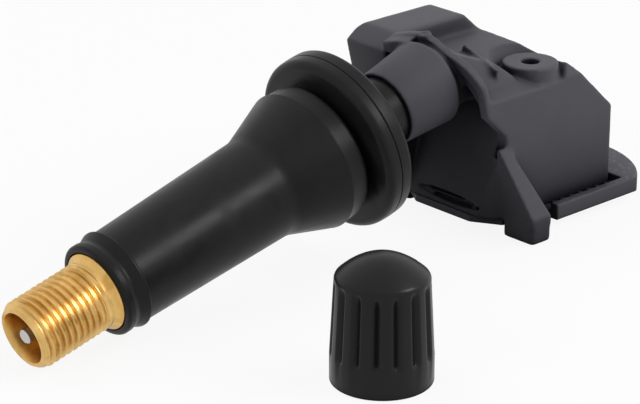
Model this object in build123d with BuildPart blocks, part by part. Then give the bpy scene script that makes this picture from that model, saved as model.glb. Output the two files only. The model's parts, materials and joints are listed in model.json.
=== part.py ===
# Snap-in tyre pressure sensor: a brass valve stem in a rubber body, a moulded sensor housing
# on its rear end, and the valve cap standing beside it.
# Millimetres. X runs level along the stem from tip to housing, Y is left, Z is up.
# The origin is on the stem axis at the rim groove.
import os
from math import cos, radians, sin, sqrt

from build123d import *

os.makedirs("parts", exist_ok=True)

# Stem axis and stations along it, measured from the tip
STEM_TILT = 14.0
SEAT_S = 42.4
THREAD_R = 3.875
THREAD_ROOT_R = 3.4
THREAD_START = 0.65
THREAD_END = 8.8
SHOULDER_R = 4.75
SHOULDER_S = 9.9
STEM_R = 3.2
STEM_END = SEAT_S + 15.6
MOUTH_R = 2.86
CORE_BORE_R = 2.65
CHAMBER_R = 2.0
AIR_R = 1.5

# Rubber body
LIP_R = 5.3
LIP_S = 9.9
WAIST_R = 5.1
WAIST_S = LIP_S + 1.5
COLLAR_R = 5.62
COLLAR_S = LIP_S + 2.6
CONE_START_S = COLLAR_S + 0.35
CONE_START_R = 5.3
BULB_R = 8.27
BULB_S = SEAT_S - 3.0
CONE_END_S = BULB_S - 5.8
CONE_END_R = 5.9
GROOVE_R = 6.1
FLANGE_S = SEAT_S + 0.7
FLANGE_R = 10.3
RING_GAP_S = FLANGE_S + 1.7
FLANGE_BACK_S = FLANGE_S + 3.5
NECK_R = 4.0
NECK_END_S = FLANGE_BACK_S + 7.0

# Housing, heights above the floor
BOSS_S = SEAT_S + 9.8
BOSS_R = 4.45
BOSS_END_S = BOSS_S + 7.0
BOSS_END_R = 5.1
BOSS_NECK_R = 4.2
FRONT_S = SEAT_S + 16.4
VISOR_S = FRONT_S + 1.6
VISOR_R = 5.15
VISOR_T = 1.0
VISOR_WALL = 1.2
VISOR_LIP = 0.4
PIP_R = 0.75
PIP_IN_R = 0.35
PIP_H = 0.35
BAR_W = 0.5
BAR_L = 7.2
BAR_LEAN = 10
BAR_TURN = 12
BAR_LOW = 18.4
BAR_TOP = 20.1
SCOOP_X = 22.0
SLOT_LEFT_Y = 5.3
SLOT_RIGHT_Y = 6.2
SLOT_DEPTH = 0.9
SLOT_LIP = 0.3
NOTCH_TIP_X = 21.4
NOTCH_TIP = 12.0
PLATE_LOW = 1.1
PLATE_TOP = 2.0
RIM_TOP = 3.0
TOWER_TOP = 22.0
TOWER_IN_Y = 6.0
TOWER_BEVEL = 20.3
SIDE_Y = 12.6
WALL_Y = 7.85
ROOF_LEFT = 19.9
ROOF_RIGHT = 18.5
BACK_X = 39.4
BACK_EDGE = 11.8
TOWER_BACK_X = 28.5
LOWER_TOP = 10.0
WALL = 1.3
HOOD_TOP = 21.2
HOOD_WALL = 0.8
RAMP_END_X = 25.0
FOOT_FRONT_X = 21.3
FOOT_DEPTH = 3.3
FOOT_IN_Y = 7.6
FOOT_OUT_Y = 12.4
GUSSET_TOP = 10.6
GUSSET_FRONT_X = 20.2
GUSSET_TOP_W = 1.8
PLATE_FRONT_X = 19.6
PLATE_SIDE_Y = 10.6
PLATE_LEFT_Y = 13.2
PLATE_ARC_X = BACK_X - 6.0
NOTCH_X = 27.4
CORNER_CUT = 3.0
RIM_W = 1.1
LEDGE_TURN = 48
RIBS = 7
RIB_PITCH = 1.5
RIB_W = 0.55
RIB_L = 1.5
RIB_H = 0.6

# Pressure port
PORT_X = 28.7
PORT_Y = -4.4
PORT_R = 3.26
PORT_TOP = 18.75
PORT_HOLE_R = 1.05
MOAT_W = 1.9
MOAT_LOW = 17.7
DIP_Y = -2.0
DIP_LOW = 16.7

# Screw moulded into the boss, on which the stem is held
SCREW_R = 1.6
SCREW_SEAT_S = STEM_END + 0.8
SCREW_START_S = STEM_END - 2.7
SCREW_HEAD_R = 2.5
SCREW_HEAD_H = 1.8

# Valve core
PIN_R = 0.82
PIN_FIT = 0.07
PIN_TIP_S = 0.25
PLUG_START_S = 1.9
PLUG_END_S = 6.0
BARREL_R = 1.75
BARREL_IN_R = 1.3
BARREL_END_S = 13.4
BARREL_STEP_S = 11.6
COLLAR_START_S = 6.5
COLLAR_END_S = 7.1
SEAT_CONE_S = 7.2
SEAT_CONE_END_S = 8.6
POPPET_GAP = 0.05
POPPET_R = 1.5
WASHER_T = 0.9
CUP_T = 0.8
SPRING_WIRE = 0.28
SPRING_TURNS = 5

# Inner parts, heights above the floor
BOARD_LOW = 8.0
BOARD_T = 0.8
POST_R = 0.9
POST_IN = 1.2
CELL_R = 6.25
CELL_T = 2.5
CELL_STEP = 0.4
CELL_LIP = 0.7
CELL_GAP = 0.7
PAD_R = 4.0
PAD_H = 1.0
TAB_T = 0.25
TAB_W = 2.4
TAB_R = 2.6
TAB_OUT = 0.5
CELL_LOW = PLATE_TOP + PAD_H + TAB_T
INNER_GAP = 0.35
CAVITY_TOP = 15.0
CAVITY_STEP = 0.3
CHIP_SIZE = 5.0
CHIP_T = 2.0
CHIP_OFF = 0.6
CHIP_HOLE_R = 0.6
GASKET_R = 1.85
FILTER_T = 0.5
FILTER_UP = 0.6
COIL_L = 4.8
COIL_W = 3.0
COIL_H = 2.6
COIL_END = 1.0
COIL_BAR_W = 1.4
COIL_BAR_H = 1.2
COIL_UP = 0.7
WINDING_W = 2.4
WINDING_H = 2.2
ANTENNA_T = 0.4
ANTENNA_W = 1.2
ANTENNA_SPAN = 1.6
ANTENNA_DROP = 3.0
ANTENNA_ROOM = 3.3
CONTROLLER_SIZE = 5.0
FLAT_T = 0.9
CRYSTAL_L = 3.2
CRYSTAL_W = 2.5
CAPACITOR_L = 1.6
CAPACITOR_W = 0.8
VENT_S = NECK_END_S + 0.7
VENT_R = 0.5

# Valve cap
CAP_X = -15.5
CAP_Y = -26.1
CAP_R = 5.35
CAP_TOP_R = 4.95
CAP_H = 13.8
CAP_BAND_H = 3.0
CAP_DOME_H = 2.9
CAP_ROOF_T = 3.2
CAP_FLUTE_TOP = CAP_H - CAP_DOME_H - 0.2
CAP_BORE_R = 3.95
CAP_BORE_H = CAP_H - CAP_ROOF_T
CAP_FLUTES = 15
CAP_FLUTE_TURN = 3.3
CAP_FLUTE_R = 0.62
SEAL_T = 1.0
SEAL_LIP = 0.25

COS_T = cos(radians(STEM_TILT))
SIN_T = sin(radians(STEM_TILT))
AXIS_DIR = (COS_T, 0, SIN_T)
UP_DIR = (-SIN_T, 0, COS_T)
DOWN_DIR = (SIN_T, 0, -COS_T)
FLOOR = (THREAD_START - SEAT_S) * SIN_T - THREAD_R * COS_T
STEM_AXIS = Axis((0, 0, 0), AXIS_DIR)


def on_axis(s):
    """Point on the stem axis at station s."""
    return ((s - SEAT_S) * COS_T, 0, (s - SEAT_S) * SIN_T)


def station(s):
    """Plane square to the stem axis at station s, looking toward the housing."""
    return Plane(origin=on_axis(s), x_dir=UP_DIR, z_dir=AXIS_DIR)


def high(h):
    """Height h above the floor."""
    return FLOOR + h


def face_x(s, h):
    """X where the plane at station s has the height h above the floor."""
    return ((s - SEAT_S) - high(h) * SIN_T) / COS_T


def roof_at(y):
    """Height of the sloped roof above the floor."""
    return ROOF_LEFT + (y - TOWER_IN_Y) * (ROOF_LEFT - ROOF_RIGHT) / (TOWER_IN_Y + WALL_Y)


def hood_edge(drop):
    """Cross-section of the hood from the tower to the right wall, lowered by drop."""
    top = HOOD_TOP - drop
    Polyline((TOWER_IN_Y + 0.5, top - 0.4), (3.0, top), (0.7, top))
    Spline(
        (0.7, top),
        (-2.9, top - 1.2),
        (-5.4, top - 2.9),
        (-6.6, top - 5.0),
        (-WALL_Y + 0.4, LOWER_TOP + 4 - drop),
        tangents=[(-1, 0), (-0.1, -1)],
    )


# Outline of the cavity and of the board in it
CAVITY_BACK_X = BACK_X - WALL
CAVITY_LEFT_Y = SIDE_Y - WALL
CAVITY_RIGHT_Y = -WALL_Y + WALL
CAVITY_STEP_X = NOTCH_X + CAVITY_STEP
CAVITY_STEP_Y = TOWER_IN_Y + CAVITY_STEP
BOARD_TOP = BOARD_LOW + BOARD_T
CAVITY_FRONT_X = SCOOP_X + WALL
BOARD_FRONT_X = CAVITY_FRONT_X + INNER_GAP
BOARD_BACK_X = CAVITY_BACK_X - INNER_GAP
BOARD_LEFT_Y = CAVITY_LEFT_Y - INNER_GAP
BOARD_RIGHT_Y = CAVITY_RIGHT_Y + INNER_GAP
BOARD_STEP_X = CAVITY_STEP_X + INNER_GAP
BOARD_STEP_Y = CAVITY_STEP_Y - INNER_GAP
CELL_X = BOARD_FRONT_X + CELL_R + CELL_GAP
CELL_Y = (BOARD_RIGHT_Y + CAVITY_STEP_Y) / 2
CELL_TOP = CELL_LOW + CELL_T
CHIP_TOP = BOARD_TOP + CHIP_T
COIL_X = BOARD_STEP_X + ANTENNA_SPAN + COIL_L / 2
COIL_Y = BOARD_LEFT_Y - INNER_GAP - COIL_W / 2 - 0.4
ANTENNA_X = BOARD_STEP_X + ANTENNA_T
ANTENNA_TOP = TOWER_TOP - WALL - ANTENNA_ROOM

PROFILE = Plane(origin=on_axis(0), x_dir=UP_DIR, z_dir=(0, 1, 0))
SIDE_VIEW = Plane(origin=(0, 0, FLOOR), x_dir=(1, 0, 0), z_dir=(0, -1, 0))
END_VIEW = Plane(origin=(0, 0, FLOOR), x_dir=(0, 1, 0), z_dir=(1, 0, 0))

# Brass stem: threaded tip, shoulder, long shank and rear end
with BuildPart() as brass_stem:
    with BuildSketch(PROFILE):
        with BuildLine():
            Polyline(
                (MOUTH_R, 0),
                (MOUTH_R + 0.4, 0),
                (THREAD_R, THREAD_START),
                (THREAD_R, THREAD_END),
                (THREAD_ROOT_R, THREAD_END + 0.3),
                (THREAD_ROOT_R + 0.1, THREAD_END + 0.45),
                (SHOULDER_R, SHOULDER_S),
                (SHOULDER_R, SHOULDER_S + 0.9),
                (STEM_R, SHOULDER_S + 1.4),
                (STEM_R, STEM_END),
                (SCREW_R, STEM_END),
                (SCREW_R, SCREW_START_S - 0.6),
                (AIR_R, SCREW_START_S - 0.8),
                (AIR_R, 18.0),
                (CHAMBER_R, 17.0),
                (CHAMBER_R, SEAT_CONE_END_S),
                (CORE_BORE_R, SEAT_CONE_S),
                (CORE_BORE_R, 0.5),
                close=True,
            )
        make_face()
    revolve(axis=STEM_AXIS)
    with BuildSketch(Plane(origin=on_axis(VENT_S), x_dir=AXIS_DIR, z_dir=DOWN_DIR)):
        Circle(VENT_R)
    extrude(amount=STEM_R + 1, mode=Mode.SUBTRACT)
brass_stem.part.label = "brass_stem"
export_step(brass_stem.part, "parts/brass_stem.step")

# Rubber body moulded on the stem
with BuildPart() as rubber_body:
    with BuildSketch(PROFILE):
        with BuildLine():
            Polyline(
                (STEM_R, NECK_END_S),
                (STEM_R, SHOULDER_S + 1.4),
                (SHOULDER_R, SHOULDER_S + 0.9),
                (SHOULDER_R, LIP_S + 0.2),
                (LIP_R - 0.3, LIP_S),
                (LIP_R, LIP_S + 0.3),
                (LIP_R, WAIST_S - 0.6),
                (WAIST_R, WAIST_S),
                (COLLAR_R, COLLAR_S),
                (COLLAR_R, COLLAR_S + 0.12),
                (CONE_START_R, CONE_START_S),
                (CONE_END_R, CONE_END_S),
            )
            Spline(
                (CONE_END_R, CONE_END_S),
                (CONE_END_R + 0.95, CONE_END_S + 2.0),
                (BULB_R - 0.5, BULB_S - 1.9),
                (BULB_R, BULB_S),
                tangents=[(0.42, 1), (0.08, 1)],
            )
            Polyline(
                (BULB_R, BULB_S),
                (BULB_R - 0.12, BULB_S + 0.12),
                (BULB_R - 0.2, SEAT_S - 1.0),
                (BULB_R - 0.5, SEAT_S - 0.6),
                (GROOVE_R + 0.3, SEAT_S - 0.3),
                (GROOVE_R, SEAT_S),
                (GROOVE_R, FLANGE_S - 0.5),
                (GROOVE_R + 0.6, FLANGE_S - 0.1),
                (FLANGE_R - 0.9, FLANGE_S),
                (FLANGE_R - 0.3, FLANGE_S + 0.25),
                (FLANGE_R, RING_GAP_S - 0.5),
                (FLANGE_R, RING_GAP_S - 0.1),
                (FLANGE_R - 0.25, RING_GAP_S),
                (FLANGE_R, RING_GAP_S + 0.1),
                (FLANGE_R - 0.05, FLANGE_BACK_S - 0.4),
                (FLANGE_R - 0.5, FLANGE_BACK_S),
                (NECK_R + 0.4, FLANGE_BACK_S),
                (NECK_R, FLANGE_BACK_S + 0.4),
                (NECK_R, NECK_END_S),
                (STEM_R, NECK_END_S),
            )
        make_face()
    revolve(axis=STEM_AXIS)
rubber_body.part.label = "rubber_body"
export_step(rubber_body.part, "parts/rubber_body.step")

# Valve core plug: slotted threaded body screwed into the stem
with BuildPart() as core_plug:
    with BuildSketch(PROFILE):
        with BuildLine():
            Polyline(
                (PIN_R + PIN_FIT, PLUG_START_S + 0.3),
                (1.5, PLUG_START_S),
                (CORE_BORE_R - 0.35, PLUG_START_S + 1.2),
                (CORE_BORE_R, PLUG_START_S + 1.6),
                (CORE_BORE_R, PLUG_END_S),
                (PIN_R + PIN_FIT, PLUG_END_S),
                close=True,
            )
        make_face()
    revolve(axis=STEM_AXIS)
    with BuildSketch(station(PLUG_START_S - 0.1)):
        with Locations((0, 2.1), (0, -2.1)):
            Rectangle(6.0, 2.0)
    extrude(amount=1.5, mode=Mode.SUBTRACT)
core_plug.part.label = "core_plug"
export_step(core_plug.part, "parts/core_plug.step")

# Valve core barrel below the plug
with BuildPart() as core_barrel:
    with BuildSketch(PROFILE):
        with BuildLine():
            Polyline(
                (BARREL_IN_R, PLUG_END_S),
                (BARREL_R, PLUG_END_S),
                (BARREL_R, BARREL_END_S - 0.3),
                (BARREL_R - 0.3, BARREL_END_S),
                (PIN_R + PIN_FIT, BARREL_END_S),
                (PIN_R + PIN_FIT, BARREL_STEP_S),
                (BARREL_IN_R, BARREL_STEP_S),
                close=True,
            )
        make_face()
    revolve(axis=STEM_AXIS)
core_barrel.part.label = "core_barrel"
export_step(core_barrel.part, "parts/core_barrel.step")

# Sealing ring between the barrel and the cone in the stem
with BuildPart() as core_seal:
    with BuildSketch(PROFILE):
        with BuildLine():
            Polyline(
                (BARREL_R, PLUG_END_S + 0.4),
                (CORE_BORE_R - 0.1, PLUG_END_S + 0.4),
                (CORE_BORE_R, PLUG_END_S + 0.6),
                (CORE_BORE_R, SEAT_CONE_S),
                (CHAMBER_R, SEAT_CONE_END_S),
                (BARREL_R, SEAT_CONE_END_S),
                close=True,
            )
        make_face()
    revolve(axis=STEM_AXIS)
core_seal.part.label = "core_seal"
export_step(core_seal.part, "parts/core_seal.step")

# Valve pin with its spring collar and the cup at the inner end
CUP_S = BARREL_END_S + POPPET_GAP + WASHER_T
with BuildPart() as core_pin:
    with BuildSketch(PROFILE):
        with BuildLine():
            Polyline(
                (0, PIN_TIP_S),
                (PIN_R - 0.15, PIN_TIP_S),
                (PIN_R, PIN_TIP_S + 0.15),
                (PIN_R, COLLAR_START_S),
                (BARREL_IN_R - PIN_FIT, COLLAR_START_S),
                (BARREL_IN_R - PIN_FIT, COLLAR_END_S),
                (PIN_R, COLLAR_END_S),
                (PIN_R, CUP_S),
                (POPPET_R, CUP_S),
                (POPPET_R, CUP_S + CUP_T),
                (0, CUP_S + CUP_T),
                close=True,
            )
        make_face()
    revolve(axis=STEM_AXIS)
core_pin.part.label = "core_pin"
export_step(core_pin.part, "parts/core_pin.step")

# Rubber washer carried by the cup
with BuildPart() as core_washer:
    with BuildSketch(station(BARREL_END_S + POPPET_GAP)):
        Circle(POPPET_R)
        Circle(PIN_R, mode=Mode.SUBTRACT)
    extrude(amount=WASHER_T)
core_washer.part.label = "core_washer"
export_step(core_washer.part, "parts/core_washer.step")

# Return spring between the collar and the step in the barrel
SPRING_MID_R = (PIN_R + BARREL_IN_R) / 2
SPRING_LOW = COLLAR_END_S + SPRING_WIRE * 0.5
SPRING_SPAN = BARREL_STEP_S - COLLAR_END_S - SPRING_WIRE
with BuildPart() as core_spring:
    with BuildLine() as coil_path:
        Helix(
            pitch=SPRING_SPAN / SPRING_TURNS,
            height=SPRING_SPAN,
            radius=SPRING_MID_R,
            center=on_axis(SPRING_LOW),
            direction=AXIS_DIR,
        )
    with BuildSketch(Plane(origin=coil_path.line @ 0, z_dir=coil_path.line % 0)):
        RegularPolygon(SPRING_WIRE / 2, 6)
    sweep(path=coil_path.line, is_frenet=True)
core_spring.part.label = "core_spring"
export_step(core_spring.part, "parts/core_spring.step")

# Moulded housing: tower, sloped block, visor over the stem boss, port boss, feet and inner cavity
ROOF_CHAMFER = 1.5
BACK_SLOPE = (TOWER_TOP - BACK_EDGE) / (BACK_X - TOWER_BACK_X)
VISOR_END_S = VISOR_S + VISOR_T
HOOD_X = face_x(VISOR_END_S, HOOD_TOP)
BAR_X = face_x(VISOR_END_S, ROOF_LEFT) + 4.6
VISOR_CROWN = Plane(origin=on_axis(VISOR_S + VISOR_T / 2), x_dir=AXIS_DIR, z_dir=UP_DIR)
with BuildPart() as sensor_housing:
    # Tower on the left with a bevel over its front
    with BuildSketch(END_VIEW):
        with BuildLine():
            Polyline(
                (SIDE_Y, PLATE_TOP),
                (SIDE_Y, TOWER_TOP - 0.7),
                (SIDE_Y - 0.7, TOWER_TOP),
                (TOWER_IN_Y, TOWER_TOP),
                (TOWER_IN_Y - 0.5, ROOF_LEFT - 3),
                (TOWER_IN_Y - 0.5, PLATE_TOP),
                close=True,
            )
        make_face()
    extrude(amount=BACK_X)
    with BuildSketch(station(FRONT_S)):
        Rectangle(4 * TOWER_TOP, 4 * TOWER_TOP)
    extrude(amount=-2 * TOWER_TOP, mode=Mode.SUBTRACT)
    with BuildSketch(SIDE_VIEW):
        with BuildLine():
            Polyline(
                (face_x(FRONT_S, TOWER_BEVEL) - 2.0, TOWER_BEVEL - 1.4),
                (face_x(FRONT_S, TOWER_BEVEL) + 4.0, TOWER_BEVEL + 2.8),
                (face_x(FRONT_S, TOWER_BEVEL) - 2.0, TOWER_BEVEL + 2.8),
                close=True,
            )
        make_face()
    extrude(amount=40, both=True, mode=Mode.SUBTRACT)
    # Sloped block with a hood that ramps down to its roof
    with BuildPart(mode=Mode.PRIVATE) as block:
        with BuildSketch(END_VIEW):
            with BuildLine():
                Polyline(
                    (TOWER_IN_Y + 0.5, PLATE_TOP),
                    (TOWER_IN_Y + 0.5, roof_at(TOWER_IN_Y)),
                    (-WALL_Y + ROOF_CHAMFER, roof_at(ROOF_CHAMFER - WALL_Y)),
                    (-WALL_Y, roof_at(-WALL_Y) - ROOF_CHAMFER),
                    (-WALL_Y, PLATE_TOP),
                    close=True,
                )
            make_face()
        extrude(amount=BACK_X)
        # Dip in the right shoulder, in front of the port
        with BuildPart(mode=Mode.PRIVATE) as dip:
            with BuildSketch(END_VIEW):
                with BuildLine():
                    Polyline(
                        (DIP_Y, roof_at(DIP_Y)),
                        (-WALL_Y, DIP_LOW),
                        (-WALL_Y - 1, DIP_LOW - 0.4),
                        (-WALL_Y - 1, TOWER_TOP),
                        (DIP_Y, TOWER_TOP),
                        close=True,
                    )
                make_face()
            extrude(amount=PORT_X + PORT_R + 2)
            with BuildSketch(SIDE_VIEW):
                with BuildLine():
                    Polyline(
                        (PORT_X + 1, DIP_LOW - 1),
                        (PORT_X + PORT_R + 2, ROOF_LEFT),
                        (PORT_X + PORT_R + 3, ROOF_LEFT),
                        (PORT_X + PORT_R + 3, DIP_LOW - 1),
                        close=True,
                    )
                make_face()
            extrude(amount=40, both=True, mode=Mode.SUBTRACT)
        add(dip.part, mode=Mode.SUBTRACT)
        with BuildPart(mode=Mode.PRIVATE) as hood:
            with BuildSketch(END_VIEW):
                with BuildLine():
                    hood_edge(0)
                    Polyline(
                        (-WALL_Y + 0.4, LOWER_TOP + 4),
                        (-WALL_Y + 0.4, LOWER_TOP),
                        (TOWER_IN_Y + 0.5, LOWER_TOP),
                        (TOWER_IN_Y + 0.5, HOOD_TOP - 0.4),
                    )
                make_face()
            extrude(amount=RAMP_END_X)
            with BuildSketch(SIDE_VIEW):
                with BuildLine():
                    Polyline(
                        (HOOD_X + 0.6, HOOD_TOP + 0.1),
                        (RAMP_END_X + 1, ROOF_RIGHT),
                        (RAMP_END_X + 1, HOOD_TOP + 5),
                        (HOOD_X + 0.6, HOOD_TOP + 5),
                        close=True,
                    )
                make_face()
            extrude(amount=40, both=True, mode=Mode.SUBTRACT)
        add(hood.part)
        with BuildSketch(station(VISOR_END_S)):
            Rectangle(4 * TOWER_TOP, 4 * TOWER_TOP)
        extrude(amount=-2 * TOWER_TOP, mode=Mode.SUBTRACT)
    add(block.part)
    # Arched visor that stands proud of the roof and runs down into the side wall
    with BuildSketch(station(VISOR_S)):
        with BuildLine():
            Spline(
                (VISOR_R - 1.25, -TOWER_IN_Y - 0.3),
                (VISOR_R - 0.5, -3.8),
                (VISOR_R - 0.1, -0.2),
                (VISOR_R - 1.35, 2.55),
                (VISOR_R - 2.55, 5.45),
                (VISOR_R - 4.2, WALL_Y - 0.55),
                (VISOR_R - 6.2, WALL_Y),
                tangents=[(0.25, 1), (-1, 0)],
            )
            Polyline(
                (VISOR_R - 6.2, WALL_Y),
                (VISOR_R - 11.0, WALL_Y),
                (VISOR_R - 11.0, -TOWER_IN_Y - 0.3),
                (VISOR_R - 1.25, -TOWER_IN_Y - 0.3),
            )
        make_face()
    extrude(amount=VISOR_T)
    # Web that fills the corner between tower, boss and visor
    with BuildSketch(station(FRONT_S)):
        with BuildLine():
            Polyline(
                (VISOR_R - 2.6, -TOWER_IN_Y - 0.3),
                (VISOR_R - 1.4, -TOWER_IN_Y - 0.3),
                (VISOR_R - 0.65, -3.8),
                (VISOR_R - 0.3, -1.8),
                (VISOR_R - 2.6, -1.8),
                close=True,
            )
        make_face()
    extrude(amount=VISOR_S - FRONT_S)
    # Front wall that sweeps forward to the plate, with a rounded right corner
    with BuildPart(mode=Mode.PRIVATE) as scoop:
        with BuildSketch(SIDE_VIEW):
            with BuildLine():
                Spline(
                    (PLATE_FRONT_X, PLATE_TOP),
                    (PLATE_FRONT_X + 0.3, LOWER_TOP / 2),
                    (SCOOP_X - 1.2, LOWER_TOP - 1),
                    (SCOOP_X - 0.3, LOWER_TOP + 4),
                    (SCOOP_X, TOWER_TOP),
                )
                Polyline(
                    (SCOOP_X, TOWER_TOP),
                    (SCOOP_X, TOWER_TOP + 8),
                    (BACK_X, TOWER_TOP + 8),
                    (BACK_X, PLATE_TOP),
                    (PLATE_FRONT_X, PLATE_TOP),
                )
            make_face()
        extrude(amount=20, both=True)
    with BuildPart(mode=Mode.PRIVATE) as front_wall:
        add(scoop.part)
        with Locations((BACK_X / 2, (TOWER_IN_Y - WALL_Y) / 2, high(PLATE_TOP))):
            Box(
                BACK_X + 10,
                TOWER_IN_Y + WALL_Y,
                LOWER_TOP + 1.5 - PLATE_TOP,
                align=(Align.CENTER, Align.CENTER, Align.MIN),
                mode=Mode.INTERSECT,
            )
        with BuildSketch(Plane.XY.offset(FLOOR)):
            with BuildLine():
                ThreePointArc(
                    (PLATE_FRONT_X - 0.2, 4 - WALL_Y),
                    (PLATE_FRONT_X + 0.5, 1.6 - WALL_Y),
                    (FOOT_FRONT_X + 0.6, -WALL_Y - 0.4),
                )
                Polyline(
                    (FOOT_FRONT_X + 0.6, -WALL_Y - 0.4),
                    (PLATE_FRONT_X - 2, -WALL_Y - 0.4),
                    (PLATE_FRONT_X - 0.2, 4 - WALL_Y),
                )
            make_face()
        extrude(amount=40, mode=Mode.SUBTRACT)
    add(front_wall.part)
    # Deep pocket inside the visor, round the boss and under the hood
    with BuildPart(mode=Mode.PRIVATE) as hood_roof:
        with BuildSketch(END_VIEW):
            with BuildLine():
                hood_edge(HOOD_WALL)
                Polyline(
                    (-WALL_Y + 0.4, LOWER_TOP + 4 - HOOD_WALL),
                    (-WALL_Y - 1, LOWER_TOP + 4 - HOOD_WALL),
                    (-WALL_Y - 1, TOWER_TOP + 4),
                    (TOWER_IN_Y + 0.5, TOWER_TOP + 4),
                    (TOWER_IN_Y + 0.5, HOOD_TOP - HOOD_WALL - 0.4),
                )
            make_face()
        extrude(amount=BACK_X)
        with BuildSketch(SIDE_VIEW):
            with BuildLine():
                Polyline(
                    (HOOD_X + 0.6, HOOD_TOP - HOOD_WALL),
                    (RAMP_END_X + 1, ROOF_RIGHT - HOOD_WALL),
                    (RAMP_END_X + 1, TOWER_TOP + 4),
                    (HOOD_X + 0.6, TOWER_TOP + 4),
                    close=True,
                )
            make_face()
        extrude(amount=WALL_Y, both=True)
        with BuildSketch(station(VISOR_S + VISOR_LIP)):
            Rectangle(4 * TOWER_TOP, 4 * TOWER_TOP)
        extrude(amount=-2 * TOWER_TOP, mode=Mode.SUBTRACT)
    with BuildPart(mode=Mode.PRIVATE) as pocket:
        with BuildSketch(station(VISOR_S - 1)):
            with BuildLine():
                Spline(
                    (VISOR_R - 1.25 - VISOR_WALL, -TOWER_IN_Y + 0.7),
                    (VISOR_R - 0.1 - VISOR_WALL, -0.2),
                    (VISOR_R - 1.35 - VISOR_WALL, 2.1),
                    (VISOR_R - 2.55 - VISOR_WALL, 4.85),
                    (VISOR_R - 4.2 - VISOR_WALL / 2, WALL_Y - 0.55 - VISOR_WALL),
                    (VISOR_R - 6.6, WALL_Y - VISOR_WALL),
                    tangents=[(0.2, 1), (-1, 0)],
                )
                Polyline(
                    (VISOR_R - 6.6, WALL_Y - VISOR_WALL),
                    (VISOR_R - 18, WALL_Y - VISOR_WALL),
                    (VISOR_R - 18, -TOWER_IN_Y + 0.7),
                    (VISOR_R - 1.25 - VISOR_WALL, -TOWER_IN_Y + 0.7),
                )
            make_face()
        extrude(amount=TOWER_TOP)
        add(scoop.part, mode=Mode.SUBTRACT)
        add(hood_roof.part, mode=Mode.SUBTRACT)
        with BuildSketch(station(VISOR_S - 1)):
            Circle(BOSS_NECK_R)
        extrude(amount=TOWER_TOP, mode=Mode.SUBTRACT)
    add(pocket.part, mode=Mode.SUBTRACT)
    # Slanted notch in the front edge of the side wall, above the buttress
    with BuildSketch(SIDE_VIEW.offset(WALL_Y - VISOR_WALL - 0.1)):
        with BuildLine():
            Polyline(
                (NOTCH_TIP_X - 5.0, NOTCH_TIP + 4.7),
                (NOTCH_TIP_X, NOTCH_TIP),
                (NOTCH_TIP_X + 0.2, NOTCH_TIP - 1.6),
                (NOTCH_TIP_X + 0.2, LOWER_TOP - 0.5),
                (NOTCH_TIP_X - 5.0, LOWER_TOP - 0.5),
                close=True,
            )
        make_face()
    extrude(amount=VISOR_WALL + 1, mode=Mode.SUBTRACT)
    # Common back slope
    with BuildSketch(SIDE_VIEW):
        with BuildLine():
            Polyline(
                (TOWER_BACK_X - 4 / BACK_SLOPE, TOWER_TOP + 4),
                (BACK_X + 2 / BACK_SLOPE, BACK_EDGE - 2),
                (BACK_X + 10, BACK_EDGE - 2),
                (BACK_X + 10, TOWER_TOP + 4),
                close=True,
            )
        make_face()
    extrude(amount=40, both=True, mode=Mode.SUBTRACT)
    # Cut corner at the back left
    with BuildSketch(Plane.XY.offset(FLOOR)):
        with BuildLine():
            Polyline(
                (BACK_X - CORNER_CUT, SIDE_Y),
                (BACK_X, SIDE_Y - CORNER_CUT),
                (BACK_X + 1, SIDE_Y - CORNER_CUT),
                (BACK_X + 1, SIDE_Y + 1),
                (BACK_X - CORNER_CUT, SIDE_Y + 1),
                close=True,
            )
        make_face()
    extrude(amount=40, mode=Mode.SUBTRACT)
    # Shallow moat and boss of the pressure port
    with BuildSketch(Plane(origin=(PORT_X, PORT_Y, FLOOR), x_dir=(1, 0, 0), z_dir=(0, -1, 0))):
        with BuildLine():
            Polyline(
                (0, MOAT_LOW),
                (PORT_R + 0.4, MOAT_LOW),
                (PORT_R + MOAT_W, PORT_TOP + 0.6),
                (PORT_R + MOAT_W, TOWER_TOP),
                (0, TOWER_TOP),
                close=True,
            )
        make_face()
    revolve(axis=Axis((PORT_X, PORT_Y, FLOOR), (0, 0, 1)), mode=Mode.SUBTRACT)
    with Locations((PORT_X, PORT_Y, high(CAVITY_TOP))):
        Cylinder(
            PORT_R,
            PORT_TOP - CAVITY_TOP,
            align=(Align.CENTER, Align.CENTER, Align.MIN),
        )
    # Bar across the roof in front of the port, and a ring pip on top of the visor
    with Locations((BAR_X, PORT_Y + 2.4, high(BAR_LOW))):
        Box(
            BAR_W,
            BAR_L,
            BAR_TOP - BAR_LOW,
            align=(Align.CENTER, Align.CENTER, Align.MIN),
            rotation=(BAR_LEAN, 0, -BAR_TURN),
        )
    with BuildSketch(VISOR_CROWN.offset(VISOR_R - 0.9)):
        with Locations((0, 0.8)):
            Circle(PIP_R)
            Circle(PIP_IN_R, mode=Mode.SUBTRACT)
    extrude(amount=0.7 + PIP_H)
    # Stem boss, flared toward the housing
    with BuildSketch(PROFILE):
        with BuildLine():
            Polyline(
                (0, BOSS_S),
                (BOSS_R - 0.1, BOSS_S),
                (BOSS_R, BOSS_S + 0.1),
                (BOSS_END_R, BOSS_END_S),
                (BOSS_NECK_R, BOSS_END_S + 0.9),
                (BOSS_NECK_R, VISOR_END_S - 0.5),
                (0, VISOR_END_S - 0.5),
                close=True,
            )
        make_face()
    revolve(axis=STEM_AXIS)
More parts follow.
